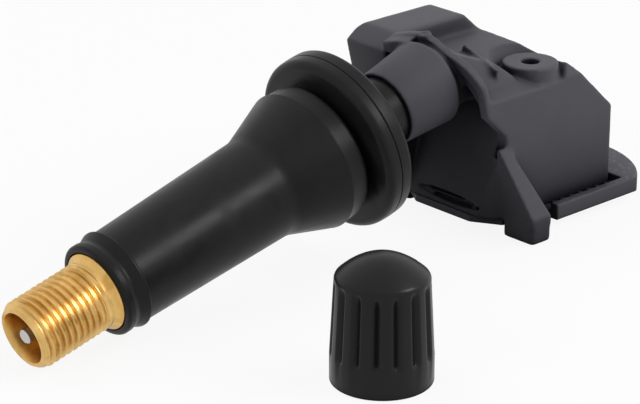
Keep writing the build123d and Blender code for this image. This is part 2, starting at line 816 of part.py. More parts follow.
    # Foot at each front corner, and the buttress over the right one
    with BuildSketch(Plane.XY.offset(FLOOR)):
        with Locations((FOOT_FRONT_X + FOOT_DEPTH / 2, -(FOOT_IN_Y + FOOT_OUT_Y) / 2)):
            RectangleRounded(FOOT_DEPTH, FOOT_OUT_Y - FOOT_IN_Y, 0.6)
        with Locations((FOOT_FRONT_X + FOOT_DEPTH / 2, (FOOT_IN_Y + FOOT_OUT_Y) / 2)):
            RectangleRounded(FOOT_DEPTH, FOOT_OUT_Y - FOOT_IN_Y, 0.6)
    extrude(amount=RIM_TOP + 0.2)
    with BuildPart(mode=Mode.PRIVATE) as gusset:
        with BuildSketch(SIDE_VIEW.offset(WALL_Y - 0.6)):
            with BuildLine():
                Polyline(
                    (FOOT_FRONT_X, PLATE_TOP),
                    (FOOT_FRONT_X, RIM_TOP),
                    (GUSSET_FRONT_X, GUSSET_TOP + 0.2),
                    (GUSSET_FRONT_X + GUSSET_TOP_W, GUSSET_TOP + 0.2),
                    (FOOT_FRONT_X + FOOT_DEPTH, RIM_TOP),
                    (FOOT_FRONT_X + FOOT_DEPTH, PLATE_TOP),
                    close=True,
                )
            make_face()
        extrude(amount=FOOT_OUT_Y - WALL_Y + 0.6)
        with BuildSketch(END_VIEW):
            with BuildLine():
                Polyline(
                    (-WALL_Y, GUSSET_TOP),
                    (-FOOT_OUT_Y, RIM_TOP),
                    (-FOOT_OUT_Y - 3, RIM_TOP),
                    (-FOOT_OUT_Y - 3, GUSSET_TOP + 4),
                    (-WALL_Y, GUSSET_TOP + 4),
                    close=True,
                )
            make_face()
        extrude(amount=60, mode=Mode.SUBTRACT)
    add(gusset.part)
    # Stepped hole in the boss for the rubber neck, the stem and the screw
    with BuildSketch(station(BOSS_S - 1)):
        Circle(NECK_R)
    extrude(amount=NECK_END_S - BOSS_S + 1, mode=Mode.SUBTRACT)
    with BuildSketch(station(NECK_END_S - 0.1)):
        Circle(STEM_R)
    extrude(amount=STEM_END - NECK_END_S + 0.1, mode=Mode.SUBTRACT)
    with BuildSketch(station(STEM_END - 0.1)):
        Circle(SCREW_R)
    extrude(amount=SCREW_SEAT_S - STEM_END + 0.2, mode=Mode.SUBTRACT)
    with BuildSketch(station(SCREW_SEAT_S)):
        RegularPolygon(SCREW_HEAD_R, 6)
    extrude(amount=SCREW_HEAD_H, mode=Mode.SUBTRACT)
    # Vent from the air bore through the boss
    with BuildSketch(Plane(origin=on_axis(VENT_S), x_dir=AXIS_DIR, z_dir=DOWN_DIR)):
        Circle(VENT_R)
    extrude(amount=BOSS_R + 1, mode=Mode.SUBTRACT)
    # Long joint slot low in the front wall
    with BuildSketch(END_VIEW.offset(PLATE_FRONT_X - 0.5)):
        with BuildLine():
            ThreePointArc((SLOT_LEFT_Y, RIM_TOP + 0.2), (0, RIM_TOP + 0.75), (-SLOT_RIGHT_Y, RIM_TOP))
            ThreePointArc((-SLOT_RIGHT_Y, RIM_TOP), (0, RIM_TOP - 0.45), (SLOT_LEFT_Y, RIM_TOP + 0.2))
        make_face()
    extrude(amount=SLOT_DEPTH + 0.5, mode=Mode.SUBTRACT)
    with Locations((PLATE_FRONT_X + SLOT_DEPTH, 0, high(RIM_TOP))):
        Box(SLOT_DEPTH, 2 * SLOT_LEFT_Y - 1, SLOT_LIP, align=(Align.CENTER, Align.CENTER, Align.MIN))
    # Cavity, open below
    with BuildPart(mode=Mode.PRIVATE) as cavity:
        with BuildSketch(Plane.XY.offset(high(PLATE_TOP))):
            with BuildLine():
                Polyline(
                    (CAVITY_FRONT_X, CAVITY_RIGHT_Y),
                    (CAVITY_BACK_X, CAVITY_RIGHT_Y),
                    (CAVITY_BACK_X, CAVITY_LEFT_Y - CORNER_CUT + 0.6),
                    (CAVITY_BACK_X - CORNER_CUT + 0.6, CAVITY_LEFT_Y),
                    (CAVITY_STEP_X, CAVITY_LEFT_Y),
                    (CAVITY_STEP_X, CAVITY_STEP_Y),
                    (CAVITY_FRONT_X, CAVITY_STEP_Y),
                    close=True,
                )
            make_face()
        extrude(amount=CAVITY_TOP - PLATE_TOP)
        ROOM_X = (NOTCH_X + BACK_X - WALL) / 2 - 2
        ROOM_Y = (SIDE_Y - WALL + TOWER_IN_Y + 1.6) / 2
        with Locations((ROOM_X, ROOM_Y, high(CAVITY_TOP - 0.5))):
            Box(
                BACK_X - WALL - NOTCH_X - 2,
                SIDE_Y - WALL - TOWER_IN_Y - 1.6,
                TOWER_TOP - WALL - CAVITY_TOP + 0.5,
                align=(Align.CENTER, Align.CENTER, Align.MIN),
            )
        with BuildSketch(SIDE_VIEW):
            with BuildLine():
                Polyline(
                    (TOWER_BACK_X - WALL * 1.4 - 4 / BACK_SLOPE, TOWER_TOP + 4),
                    (BACK_X - WALL * 1.4 + 6 / BACK_SLOPE, BACK_EDGE - 6),
                    (BACK_X + 10, BACK_EDGE - 6),
                    (BACK_X + 10, TOWER_TOP + 4),
                    close=True,
                )
            make_face()
        extrude(amount=40, both=True, mode=Mode.SUBTRACT)
    add(cavity.part, mode=Mode.SUBTRACT)
    with Locations((PORT_X, PORT_Y, high(CAVITY_TOP - 1))):
        Cylinder(
            PORT_HOLE_R,
            PORT_TOP - CAVITY_TOP + 2,
            align=(Align.CENTER, Align.CENTER, Align.MIN),
            mode=Mode.SUBTRACT,
        )
sensor_housing.part.label = "sensor_housing"
export_step(sensor_housing.part, "parts/sensor_housing.step")

# Base plate with a raised rim, board posts, a pad for the cell and small ribs beside the wall
with BuildPart() as base_plate:
    ARC_R = PLATE_LEFT_Y
    ARC_SIDE_X = PLATE_ARC_X + sqrt(ARC_R**2 - PLATE_SIDE_Y**2)
    NOTCH_Y = FOOT_IN_Y - 0.15
    with BuildSketch(Plane.XY.offset(high(PLATE_LOW))) as plate_outline:
        with BuildLine():
            Polyline(
                (PLATE_ARC_X, PLATE_LEFT_Y),
                (NOTCH_X, PLATE_LEFT_Y),
                (NOTCH_X, NOTCH_Y),
                (PLATE_FRONT_X + 1.6, NOTCH_Y),
                (PLATE_FRONT_X, NOTCH_Y - 2.6),
                (PLATE_FRONT_X, -NOTCH_Y + 3.4),
                (PLATE_FRONT_X + 2.0, -NOTCH_Y),
                (NOTCH_X, -NOTCH_Y),
                (NOTCH_X, -PLATE_SIDE_Y),
                (ARC_SIDE_X, -PLATE_SIDE_Y),
            )
            ThreePointArc(
                (ARC_SIDE_X, -PLATE_SIDE_Y),
                (PLATE_ARC_X + ARC_R, 0),
                (PLATE_ARC_X, PLATE_LEFT_Y),
            )
        make_face()
    extrude(amount=PLATE_TOP - PLATE_LOW)
    # Rim along the right side, widened to a flat ledge behind the housing
    IN_SIDE_Y = PLATE_SIDE_Y - RIM_W
    LEDGE_X = BACK_X + INNER_GAP
    RIM_COS = cos(radians(LEDGE_TURN))
    RIM_SIN = sin(radians(LEDGE_TURN))
    with BuildSketch(Plane.XY.offset(high(PLATE_TOP))):
        with BuildLine():
            Polyline(
                (LEDGE_X, -IN_SIDE_Y),
                (NOTCH_X, -IN_SIDE_Y),
                (NOTCH_X, -PLATE_SIDE_Y),
                (ARC_SIDE_X, -PLATE_SIDE_Y),
            )
            ThreePointArc(
                (ARC_SIDE_X, -PLATE_SIDE_Y),
                (PLATE_ARC_X + ARC_R, 0),
                (PLATE_ARC_X + ARC_R * RIM_COS, ARC_R * RIM_SIN),
            )
            Polyline(
                (PLATE_ARC_X + ARC_R * RIM_COS, ARC_R * RIM_SIN),
                (LEDGE_X, ARC_R * RIM_SIN),
                (LEDGE_X, -IN_SIDE_Y),
            )
        make_face()
    extrude(amount=RIM_TOP - PLATE_TOP)
    RIB_STARTS = [NOTCH_X + 2.0 + RIB_PITCH * i for i in range(RIBS)]
    with Locations(*[(x, -WALL_Y, high(PLATE_TOP)) for x in RIB_STARTS]):
        Box(RIB_W, RIB_L, RIB_H, align=(Align.CENTER, Align.MAX, Align.MIN))
    # Posts under the board and the pad under the cell
    with Locations(
        (BOARD_FRONT_X + POST_IN, BOARD_RIGHT_Y + POST_IN, high(PLATE_TOP)),
        (BOARD_FRONT_X + POST_IN, BOARD_STEP_Y - POST_IN, high(PLATE_TOP)),
        (BOARD_BACK_X - POST_IN, BOARD_RIGHT_Y + POST_IN, high(PLATE_TOP)),
        (BOARD_BACK_X - CORNER_CUT + POST_IN, BOARD_LEFT_Y - CORNER_CUT / 2, high(PLATE_TOP)),
    ):
        Cylinder(POST_R, BOARD_LOW - PLATE_TOP, align=(Align.CENTER, Align.CENTER, Align.MIN))
    with Locations((CELL_X, CELL_Y, high(PLATE_TOP))):
        Cylinder(PAD_R, PAD_H, align=(Align.CENTER, Align.CENTER, Align.MIN))
base_plate.part.label = "base_plate"
export_step(base_plate.part, "parts/base_plate.step")

# Screw with its hexagon head moulded into the boss and its thread in the rear end of the stem
with BuildPart() as stem_screw:
    with BuildSketch(station(SCREW_START_S)):
        Circle(SCREW_R)
    extrude(amount=SCREW_SEAT_S - SCREW_START_S)
    chamfer(stem_screw.edges().sort_by(Axis.X)[0], 0.3)
    with BuildSketch(station(SCREW_SEAT_S)):
        RegularPolygon(SCREW_HEAD_R, 6)
    extrude(amount=SCREW_HEAD_H)
stem_screw.part.label = "stem_screw"
export_step(stem_screw.part, "parts/stem_screw.step")

# Circuit board on the posts
with BuildPart() as circuit_board:
    with BuildSketch(Plane.XY.offset(high(BOARD_LOW))):
        with BuildLine():
            Polyline(
                (BOARD_FRONT_X, BOARD_RIGHT_Y),
                (BOARD_BACK_X, BOARD_RIGHT_Y),
                (BOARD_BACK_X, BOARD_LEFT_Y - CORNER_CUT + 0.8),
                (BOARD_BACK_X - CORNER_CUT + 0.8, BOARD_LEFT_Y),
                (BOARD_STEP_X, BOARD_LEFT_Y),
                (BOARD_STEP_X, BOARD_STEP_Y),
                (BOARD_FRONT_X, BOARD_STEP_Y),
                close=True,
            )
        make_face()
    extrude(amount=BOARD_T)
circuit_board.part.label = "circuit_board"
export_step(circuit_board.part, "parts/circuit_board.step")

# Coin cell with a stepped edge
with BuildPart() as battery_cell:
    with Locations((CELL_X, CELL_Y, high(CELL_LOW))):
        Cylinder(CELL_R - CELL_LIP, CELL_STEP, align=(Align.CENTER, Align.CENTER, Align.MIN))
    with Locations((CELL_X, CELL_Y, high(CELL_LOW + CELL_STEP))):
        Cylinder(CELL_R, CELL_T - CELL_STEP, align=(Align.CENTER, Align.CENTER, Align.MIN))
battery_cell.part.label = "battery_cell"
export_step(battery_cell.part, "parts/battery_cell.step")

# Welded contact tabs below and above the cell, each with a leg up to the board
with BuildPart() as battery_tab_lower:
    LEG_X = CELL_X - CELL_R - TAB_OUT + TAB_T / 2
    with Locations((CELL_X, CELL_Y, high(CELL_LOW - TAB_T))):
        Cylinder(TAB_R, TAB_T, align=(Align.CENTER, Align.CENTER, Align.MIN))
    with Locations((CELL_X, CELL_Y, high(CELL_LOW - TAB_T))):
        Box(CELL_R + TAB_OUT, TAB_W, TAB_T, align=(Align.MAX, Align.CENTER, Align.MIN))
    with Locations((LEG_X, CELL_Y, high(CELL_LOW - TAB_T))):
        Box(TAB_T, TAB_W, BOARD_LOW - CELL_LOW + TAB_T, align=(Align.CENTER, Align.CENTER, Align.MIN))
battery_tab_lower.part.label = "battery_tab_lower"
export_step(battery_tab_lower.part, "parts/battery_tab_lower.step")

with BuildPart() as battery_tab_upper:
    with Locations((CELL_X, CELL_Y, high(CELL_TOP))):
        Cylinder(TAB_R, TAB_T, align=(Align.CENTER, Align.CENTER, Align.MIN))
    with Locations((CELL_X, CELL_Y, high(CELL_TOP))):
        Box(TAB_W, CELL_R + 2 * TAB_OUT, TAB_T, align=(Align.CENTER, Align.MIN, Align.MIN))
    with Locations((CELL_X, CELL_Y + CELL_R + 2 * TAB_OUT - TAB_T / 2, high(CELL_TOP))):
        Box(TAB_W, TAB_T, BOARD_LOW - CELL_TOP, align=(Align.CENTER, Align.CENTER, Align.MIN))
battery_tab_upper.part.label = "battery_tab_upper"
export_step(battery_tab_upper.part, "parts/battery_tab_upper.step")

# Pressure sensing chip under the port, with its opening
with BuildPart() as pressure_chip:
    with Locations((PORT_X, PORT_Y + CHIP_OFF, high(BOARD_TOP))):
        Box(CHIP_SIZE, CHIP_SIZE, CHIP_T, align=(Align.CENTER, Align.CENTER, Align.MIN))
    with Locations((PORT_X, PORT_Y, high(CHIP_TOP))):
        Cylinder(
            CHIP_HOLE_R,
            CHIP_T * 0.4,
            align=(Align.CENTER, Align.CENTER, Align.MAX),
            mode=Mode.SUBTRACT,
        )
pressure_chip.part.label = "pressure_chip"
export_step(pressure_chip.part, "parts/pressure_chip.step")

# Soft gasket tube from the chip to the underside of the roof
with BuildPart() as port_gasket:
    with Locations((PORT_X, PORT_Y, high(CHIP_TOP))):
        Cylinder(GASKET_R, CAVITY_TOP - CHIP_TOP, align=(Align.CENTER, Align.CENTER, Align.MIN))
        Cylinder(
            PORT_HOLE_R,
            CAVITY_TOP - CHIP_TOP,
            align=(Align.CENTER, Align.CENTER, Align.MIN),
            mode=Mode.SUBTRACT,
        )
port_gasket.part.label = "port_gasket"
export_step(port_gasket.part, "parts/port_gasket.step")

# Breathable filter disc in the port hole
with BuildPart() as port_filter:
    with Locations((PORT_X, PORT_Y, high(CAVITY_TOP + FILTER_UP))):
        Cylinder(PORT_HOLE_R, FILTER_T, align=(Align.CENTER, Align.CENTER, Align.MIN))
port_filter.part.label = "port_filter"
export_step(port_filter.part, "parts/port_filter.step")

# Wake-up coil: ferrite bobbin and its winding
with BuildPart() as coil_core:
    with Locations(
        (COIL_X - (COIL_L - COIL_END) / 2, COIL_Y, high(BOARD_TOP)),
        (COIL_X + (COIL_L - COIL_END) / 2, COIL_Y, high(BOARD_TOP)),
    ):
        Box(COIL_END, COIL_W, COIL_H, align=(Align.CENTER, Align.CENTER, Align.MIN))
    with Locations((COIL_X, COIL_Y, high(BOARD_TOP + COIL_UP))):
        Box(COIL_L - COIL_END, COIL_BAR_W, COIL_BAR_H, align=(Align.CENTER, Align.CENTER, Align.MIN))
coil_core.part.label = "coil_core"
export_step(coil_core.part, "parts/coil_core.step")

with BuildPart() as coil_winding:
    with Locations((COIL_X, COIL_Y, high(BOARD_TOP + (COIL_H - WINDING_H) / 2))):
        Box(COIL_L - 2 * COIL_END, WINDING_W, WINDING_H, align=(Align.CENTER, Align.CENTER, Align.MIN))
    with Locations((COIL_X, COIL_Y, high(BOARD_TOP + COIL_UP))):
        Box(
            COIL_L,
            COIL_BAR_W,
            COIL_BAR_H,
            align=(Align.CENTER, Align.CENTER, Align.MIN),
            mode=Mode.SUBTRACT,
        )
coil_winding.part.label = "coil_winding"
export_step(coil_winding.part, "parts/coil_winding.step")

# Bent strip antenna standing in the tower
with BuildPart() as antenna:
    with Locations((ANTENNA_X, COIL_Y, high(BOARD_TOP))):
        Box(ANTENNA_T, ANTENNA_W, ANTENNA_TOP - BOARD_TOP, align=(Align.CENTER, Align.CENTER, Align.MIN))
    with Locations((ANTENNA_X + ANTENNA_SPAN / 2, COIL_Y, high(ANTENNA_TOP))):
        Box(ANTENNA_SPAN + ANTENNA_T, ANTENNA_W, ANTENNA_T, align=(Align.CENTER, Align.CENTER, Align.MAX))
    with Locations((ANTENNA_X + ANTENNA_SPAN, COIL_Y, high(ANTENNA_TOP))):
        Box(ANTENNA_T, ANTENNA_W, ANTENNA_DROP, align=(Align.CENTER, Align.CENTER, Align.MAX))
antenna.part.label = "antenna"
export_step(antenna.part, "parts/antenna.step")

# Small board parts
with BuildPart() as crystal_can:
    with Locations((BOARD_BACK_X - POST_IN, BOARD_RIGHT_Y + POST_IN, high(BOARD_TOP))):
        Box(CRYSTAL_L, CRYSTAL_W, FLAT_T, align=(Align.MAX, Align.MIN, Align.MIN))
    fillet(crystal_can.edges().filter_by(Axis.Z), CRYSTAL_W / 6)
crystal_can.part.label = "crystal_can"
export_step(crystal_can.part, "parts/crystal_can.step")

with BuildPart() as controller_chip:
    with Locations((CELL_X, PORT_Y + CHIP_OFF + CHIP_SIZE / 2 + INNER_GAP, high(BOARD_TOP))):
        Box(CONTROLLER_SIZE, CONTROLLER_SIZE, FLAT_T, align=(Align.CENTER, Align.MIN, Align.MIN))
controller_chip.part.label = "controller_chip"
export_step(controller_chip.part, "parts/controller_chip.step")

with BuildPart() as tuning_capacitor:
    with Locations((BOARD_BACK_X - POST_IN, CELL_Y + CELL_R / 2, high(BOARD_TOP))):
        Box(CAPACITOR_L, CAPACITOR_W, CAPACITOR_W, align=(Align.MAX, Align.CENTER, Align.MIN))
tuning_capacitor.part.label = "tuning_capacitor"
export_step(tuning_capacitor.part, "parts/tuning_capacitor.step")

# Valve cap: fluted grip above a plain band, bored from below
with BuildPart() as valve_cap:
    CAP_AXIS = Axis((CAP_X, CAP_Y, FLOOR), (0, 0, 1))
    with BuildSketch(Plane(origin=(CAP_X, CAP_Y, FLOOR), x_dir=(1, 0, 0), z_dir=(0, -1, 0))):
        with BuildLine():
            Polyline(
                (0, CAP_BORE_H),
                (CAP_BORE_R + SEAL_LIP, CAP_BORE_H),
                (CAP_BORE_R + SEAL_LIP, CAP_BORE_H - SEAL_T),
                (CAP_BORE_R, CAP_BORE_H - SEAL_T),
                (CAP_BORE_R, 0.5),
                (CAP_BORE_R + 0.4, 0),
                (CAP_R - 0.25, 0),
                (CAP_R, 0.25),
                (CAP_R, CAP_BAND_H),
                (CAP_TOP_R, CAP_FLUTE_TOP + 0.2),
            )
            Spline(
                (CAP_TOP_R, CAP_FLUTE_TOP + 0.2),
                (CAP_TOP_R - 0.45, CAP_H - 0.72 * CAP_DOME_H),
                (CAP_TOP_R - 2.0, CAP_H - 0.26 * CAP_DOME_H),
                (0, CAP_H),
                tangents=[(-0.06, 1), (-1, 0)],
            )
            Line((0, CAP_H), (0, CAP_BORE_H))
        make_face()
    revolve(axis=CAP_AXIS)
    with BuildSketch(Plane.XY.offset(high(CAP_BAND_H))):
        with Locations((CAP_X, CAP_Y)):
            with PolarLocations(CAP_R + 0.2, CAP_FLUTES, start_angle=CAP_FLUTE_TURN):
                Circle(CAP_FLUTE_R)
    extrude(amount=CAP_FLUTE_TOP - CAP_BAND_H, mode=Mode.SUBTRACT)
valve_cap.part.label = "valve_cap"
export_step(valve_cap.part, "parts/valve_cap.step")

# Sealing disc in the top of the cap
with BuildPart() as cap_seal:
    with Locations((CAP_X, CAP_Y, high(CAP_BORE_H - SEAL_T))):
        Cylinder(CAP_BORE_R + SEAL_LIP, SEAL_T, align=(Align.CENTER, Align.CENTER, Align.MIN))
cap_seal.part.label = "cap_seal"
export_step(cap_seal.part, "parts/cap_seal.step")
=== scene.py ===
import json
import math

import bmesh
import bpy
from mathutils import Matrix, Vector

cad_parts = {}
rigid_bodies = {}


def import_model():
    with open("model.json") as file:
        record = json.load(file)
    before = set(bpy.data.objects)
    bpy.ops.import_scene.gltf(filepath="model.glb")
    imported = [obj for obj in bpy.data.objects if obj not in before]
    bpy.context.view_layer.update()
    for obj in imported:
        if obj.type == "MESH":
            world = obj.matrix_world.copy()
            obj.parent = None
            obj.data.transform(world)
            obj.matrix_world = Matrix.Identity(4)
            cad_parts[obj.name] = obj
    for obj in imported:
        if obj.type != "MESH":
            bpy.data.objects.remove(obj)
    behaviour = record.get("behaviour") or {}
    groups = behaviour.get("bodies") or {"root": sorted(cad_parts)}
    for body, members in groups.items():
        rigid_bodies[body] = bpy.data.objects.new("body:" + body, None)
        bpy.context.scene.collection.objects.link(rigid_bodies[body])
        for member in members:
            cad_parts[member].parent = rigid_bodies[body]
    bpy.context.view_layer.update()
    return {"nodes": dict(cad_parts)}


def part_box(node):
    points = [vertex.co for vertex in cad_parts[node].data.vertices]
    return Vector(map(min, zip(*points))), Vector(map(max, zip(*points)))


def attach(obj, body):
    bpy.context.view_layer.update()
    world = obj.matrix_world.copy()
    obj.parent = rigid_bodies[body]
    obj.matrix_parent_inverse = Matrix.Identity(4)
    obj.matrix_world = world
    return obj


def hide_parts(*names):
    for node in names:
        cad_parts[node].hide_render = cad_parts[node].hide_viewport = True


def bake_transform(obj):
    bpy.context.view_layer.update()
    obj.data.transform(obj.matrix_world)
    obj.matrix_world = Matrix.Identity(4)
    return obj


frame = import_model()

nodes = frame["nodes"]

MM = 0.001
TOUCH = 1e-6
FLOOR = min(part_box(name)[0][2] for name in nodes)

# Sizes in millimetres: R is a radius, H a height above the floor, S a station along the stem from its tip
TILT = math.radians(14.0)
ALONG = Vector((math.cos(TILT), 0, math.sin(TILT)))
SEAT_S = 42.4

# Thread teeth: width at the foot as a share of the pitch, at the crest as a share of the foot, and crown
PITCH = 0.794
TOOTH_FOOT = 0.66
TOOTH_CREST = 0.28
TOOTH_CROWN = 0.08

# Brass stem, outside
LIP_R = 3.3
LIP_S = 0.02
CHAMFER_S = 0.6
ROOT_R = 3.58
ROOT_S = 0.9
CREST_R = 3.86
TOOTH_SINK = 0.06
THREAD_S = 0.1
THREAD_TURNS = 12
RUN_IN_S = 0.3
THREAD_FULL_S = 0.95
THREAD_END_S = 8.8
RUN_OUT_S = 9.1
COLLAR_R = 3.74
SHOULDER_R = 4.45
SHOULDER_S = 9.9
SHOULDER_END_S = 10.8
SHANK_R = 3.2
SHANK_S = 11.3
SHANK_END_S = 58.0

# Brass stem, bore from the mouth inwards
MOUTH_R = 2.96
MOUTH_S = 1.0
CORE_BORE_R = 2.65
CORE_BORE_END_S = 7.2
CORE_SEAT_R = 2.0
CORE_SEAT_S = 8.6
CORE_SEAT_END_S = 17.0
AIR_R = 1.5
AIR_S = 18.0
SCREW_BORE_R = 1.6
SCREW_BORE_S = 54.7

# Return spring of the valve core
SPRING_R = 1.06
SPRING_WIRE = 0.27
SPRING_START_S = 7.1
SPRING_END_S = 11.6
SPRING_TURNS = 5

# Rubber body
SHOULDER_HOLE_R = 4.46
SHANK_HOLE_R = 3.22
RIM_R = 5.3
RIM_S = 9.95
RIM_END_S = 10.8
WAIST_R = 5.1
WAIST_S = 11.4
BEAD_R = 5.62
BEAD_S = 12.55
CONE_R = 5.3
CONE_S = 12.86
CONE_END_R = 5.92
CONE_END_S = 33.2
BULB_R = 8.26
BULB_S = 39.42
BULB_END_R = 8.08
BULB_END_S = 41.9
GROOVE_R = 6.1
GROOVE_S = 42.15
GROOVE_END_S = 42.9
FLANGE_R = 10.3
FLANGE_S = 43.08
FLANGE_SEAM_S = 44.81
FLANGE_SEAM_DEPTH = 0.24
FLANGE_END_S = 46.6
NECK_R = 4.0
NECK_END_S = 53.55

# Zones of the housing that are moulded rounder than the rest
TOWER_Y = 5.2
TOWER_H = 8.0
WALL_Y = -7.2
BAR_X = 20.0
BAR_END_X = 25.3
BAR_Y = -2.2
BAR_REACH = 5.0
BAR_H = 16.0

# Trench with ribs in the base plate
PLATE_TOP_H = 2.0
TRENCH_RIGHT_Y = -9.3
TRENCH_LEFT_Y = -7.7
TRENCH_END_X = 39.5
RIB_SHARE = 0.5

# Dust cap; a flute takes up some of the mesh's sides, and half of its width a few of them
CAP_X = -15.5
CAP_Y = -26.1
CAP_R = 5.35
CAP_TOP_R = 4.9
CAP_SKIN_R = 4.5
CAP_H = 13.8
CAP_BAND_H = 3.0
CAP_ROWS = 24
CAP_BORE_R = 3.95
CAP_BORE_H = 9.6
CAP_THREAD_H = 1.2
CAP_THREAD_DEPTH = 0.35
CAP_THREAD_TURNS = 9
DOME_RISE = 2.3
DOME_RINGS = 10
DOME_SHARE = 0.8
EAVES_H = CAP_H - DOME_RISE
FLUTES = 15
FLUTE_TURN = math.radians(3.3)
FLUTE_DEPTH = 0.5
FLUTE_SIDES = 15
FLUTE_HALF = 4
FLUTE_TOP_H = EAVES_H - 0.7

# Camera, fitted to the photograph
CAMERA_PLACE = (-0.18130, -0.19814, 0.09954)
CAMERA_LOOK = (0.62789, 0.68661, -0.36650)
CAMERA_LENS = 146.25
CAMERA_SENSOR = 36.0


# Handling of pieces

def clear_selection():
    """Object mode with nothing selected."""
    if bpy.context.object and bpy.context.object.mode != "OBJECT":
        bpy.ops.object.mode_set(mode="OBJECT")
    bpy.ops.object.select_all(action="DESELECT")


def take(piece):
    """Makes one piece the selected and active object."""
    clear_selection()
    piece.select_set(True)
    bpy.context.view_layer.objects.active = piece


def pick(piece, test):
    """In edit mode, selects the vertices whose place passes the test."""
    bpy.ops.mesh.select_all(action="DESELECT")
    mesh = bmesh.from_edit_mesh(piece.data)
    for vertex in mesh.verts:
        if test(vertex.co):
            vertex.select_set(True)
    mesh.select_flush_mode()
    bmesh.update_edit_mesh(piece.data)


def merge_doubles():
    """In edit mode, selects all and merges vertices that lie on each other."""
    bpy.ops.mesh.select_all(action="SELECT")
    bpy.ops.mesh.remove_doubles(threshold=TOUCH)


def close_up():
    """In edit mode, merges doubled vertices, turns all faces outwards and leaves edit mode."""
    merge_doubles()
    bpy.ops.mesh.normals_make_consistent(inside=False)
    bpy.ops.object.mode_set(mode="OBJECT")


def cap_ends():
    """Merges doubled vertices of the active piece and fills its open ends."""
    bpy.ops.object.mode_set(mode="EDIT")
    merge_doubles()
    bpy.ops.mesh.select_all(action="DESELECT")
    bpy.ops.mesh.select_mode(type="EDGE")
    bpy.ops.mesh.select_non_manifold(extend=False)
    bpy.ops.mesh.fill_holes(sides=0)
    bpy.ops.mesh.select_mode(type="VERT")
    close_up()


def place_here():
    """Moves the place, turn and scale of the active piece into its mesh."""
    bpy.ops.object.transform_apply(location=True, rotation=True, scale=True)


def work(piece, name, kind, **settings):
    """Gives the active piece a modifier with its settings, and applies it."""
    modifier = piece.modifiers.new(name, kind)
    for key, value in settings.items():
        setattr(modifier, key, value)
    bpy.ops.object.modifier_apply(modifier=modifier.name)


def sweep(piece, name, steps, rise=0.0, turns=1):
    """Sweeps the active profile round Z, rising by so many metres a turn; with no rise it closes up."""
    work(
        piece, name, "SCREW", axis="Z", angle=2 * math.pi, screw_offset=rise, iterations=turns,
        steps=steps, render_steps=steps, use_merge_vertices=not rise, merge_threshold=TOUCH,
    )


def smooth(piece, angle):
    """Smooth shading up to the angle, in degrees."""
    take(piece)
    bpy.ops.object.shade_smooth_by_angle(angle=math.radians(angle))


def join(piece, *others):
    """Joins other pieces into one."""
    take(piece)
    for other in others:
        other.select_set(True)
    bpy.ops.object.join()


def keep_inside(piece, blank):
    """Trims a piece to the inside of a blank, which is used up."""
    take(piece)
    work(piece, "trim", "BOOLEAN", operation="INTERSECT", solver="EXACT", object=blank)
    bpy.ops.object.mode_set(mode="EDIT")
    close_up()
    take(blank)
    bpy.ops.object.delete()


def lay_on_stem(piece):
    """Turns a piece made along Z, with the tip at zero, onto the tilted stem axis."""
    take(piece)
    up = Vector((-math.sin(TILT), 0, math.cos(TILT)))
    side = ALONG.cross(up)
    place = Matrix((up, side, ALONG)).transposed().to_4x4()
    place.translation = ALONG * (-SEAT_S * MM)
    piece.matrix_world = place
    place_here()


def ramp(start, end, value):
    """Soft step from 0 at the start to 1 at the end."""
    share = min(max((value - start) / (end - start), 0.0), 1.0)
    return share * share * (3 - 2 * share)


def eased(corners, steps=5):
    """Outline through corners (radius, height, rounding) in millimetres; each rounding becomes an arc."""
    outline = []
    for here, (radius, height, rounding) in enumerate(corners):
        corner = Vector((radius, height))
        if not rounding:
            outline.append((radius, height))
            continue
        before = Vector(corners[here - 1][:2]) - corner
        after = Vector(corners[(here + 1) % len(corners)][:2]) - corner
        half = before.angle(after) / 2
        reach = min(rounding / math.tan(half), before.length / 2, after.length / 2)
        inward = (before.normalized() + after.normalized()).normalized()
        centre = corner + inward * reach / math.cos(half)
        first = corner + before.normalized() * reach - centre
        last = corner + after.normalized() * reach - centre
        for step in range(steps + 1):
            spoke = first.lerp(last, step / steps).normalized() * first.length
            outline.append(tuple(centre + spoke))
    return outline


def turned(name, outline, sides):
    """Profile drawn point by point as (radius, height) in millimetres, then spun round Z as on a lathe."""
    clear_selection()
    bpy.ops.mesh.primitive_plane_add(size=MM)
    piece = bpy.context.object
    piece.name = name
    bpy.ops.object.mode_set(mode="EDIT")
    bpy.ops.mesh.select_all(action="SELECT")
    bpy.ops.mesh.merge(type="CENTER")
    radius, height = outline[0]
    bpy.ops.transform.translate(value=(radius * MM, 0, height * MM))
    for next_radius, next_height in outline[1:]:
        step = ((next_radius - radius) * MM, 0, (next_height - height) * MM)
        bpy.ops.mesh.extrude_vertices_move(TRANSFORM_OT_translate={"value": step})
        radius, height = next_radius, next_height
    bpy.ops.object.mode_set(mode="OBJECT")
    sweep(piece, "lathe", sides)
    bpy.ops.object.mode_set(mode="EDIT")
    close_up()
    return piece


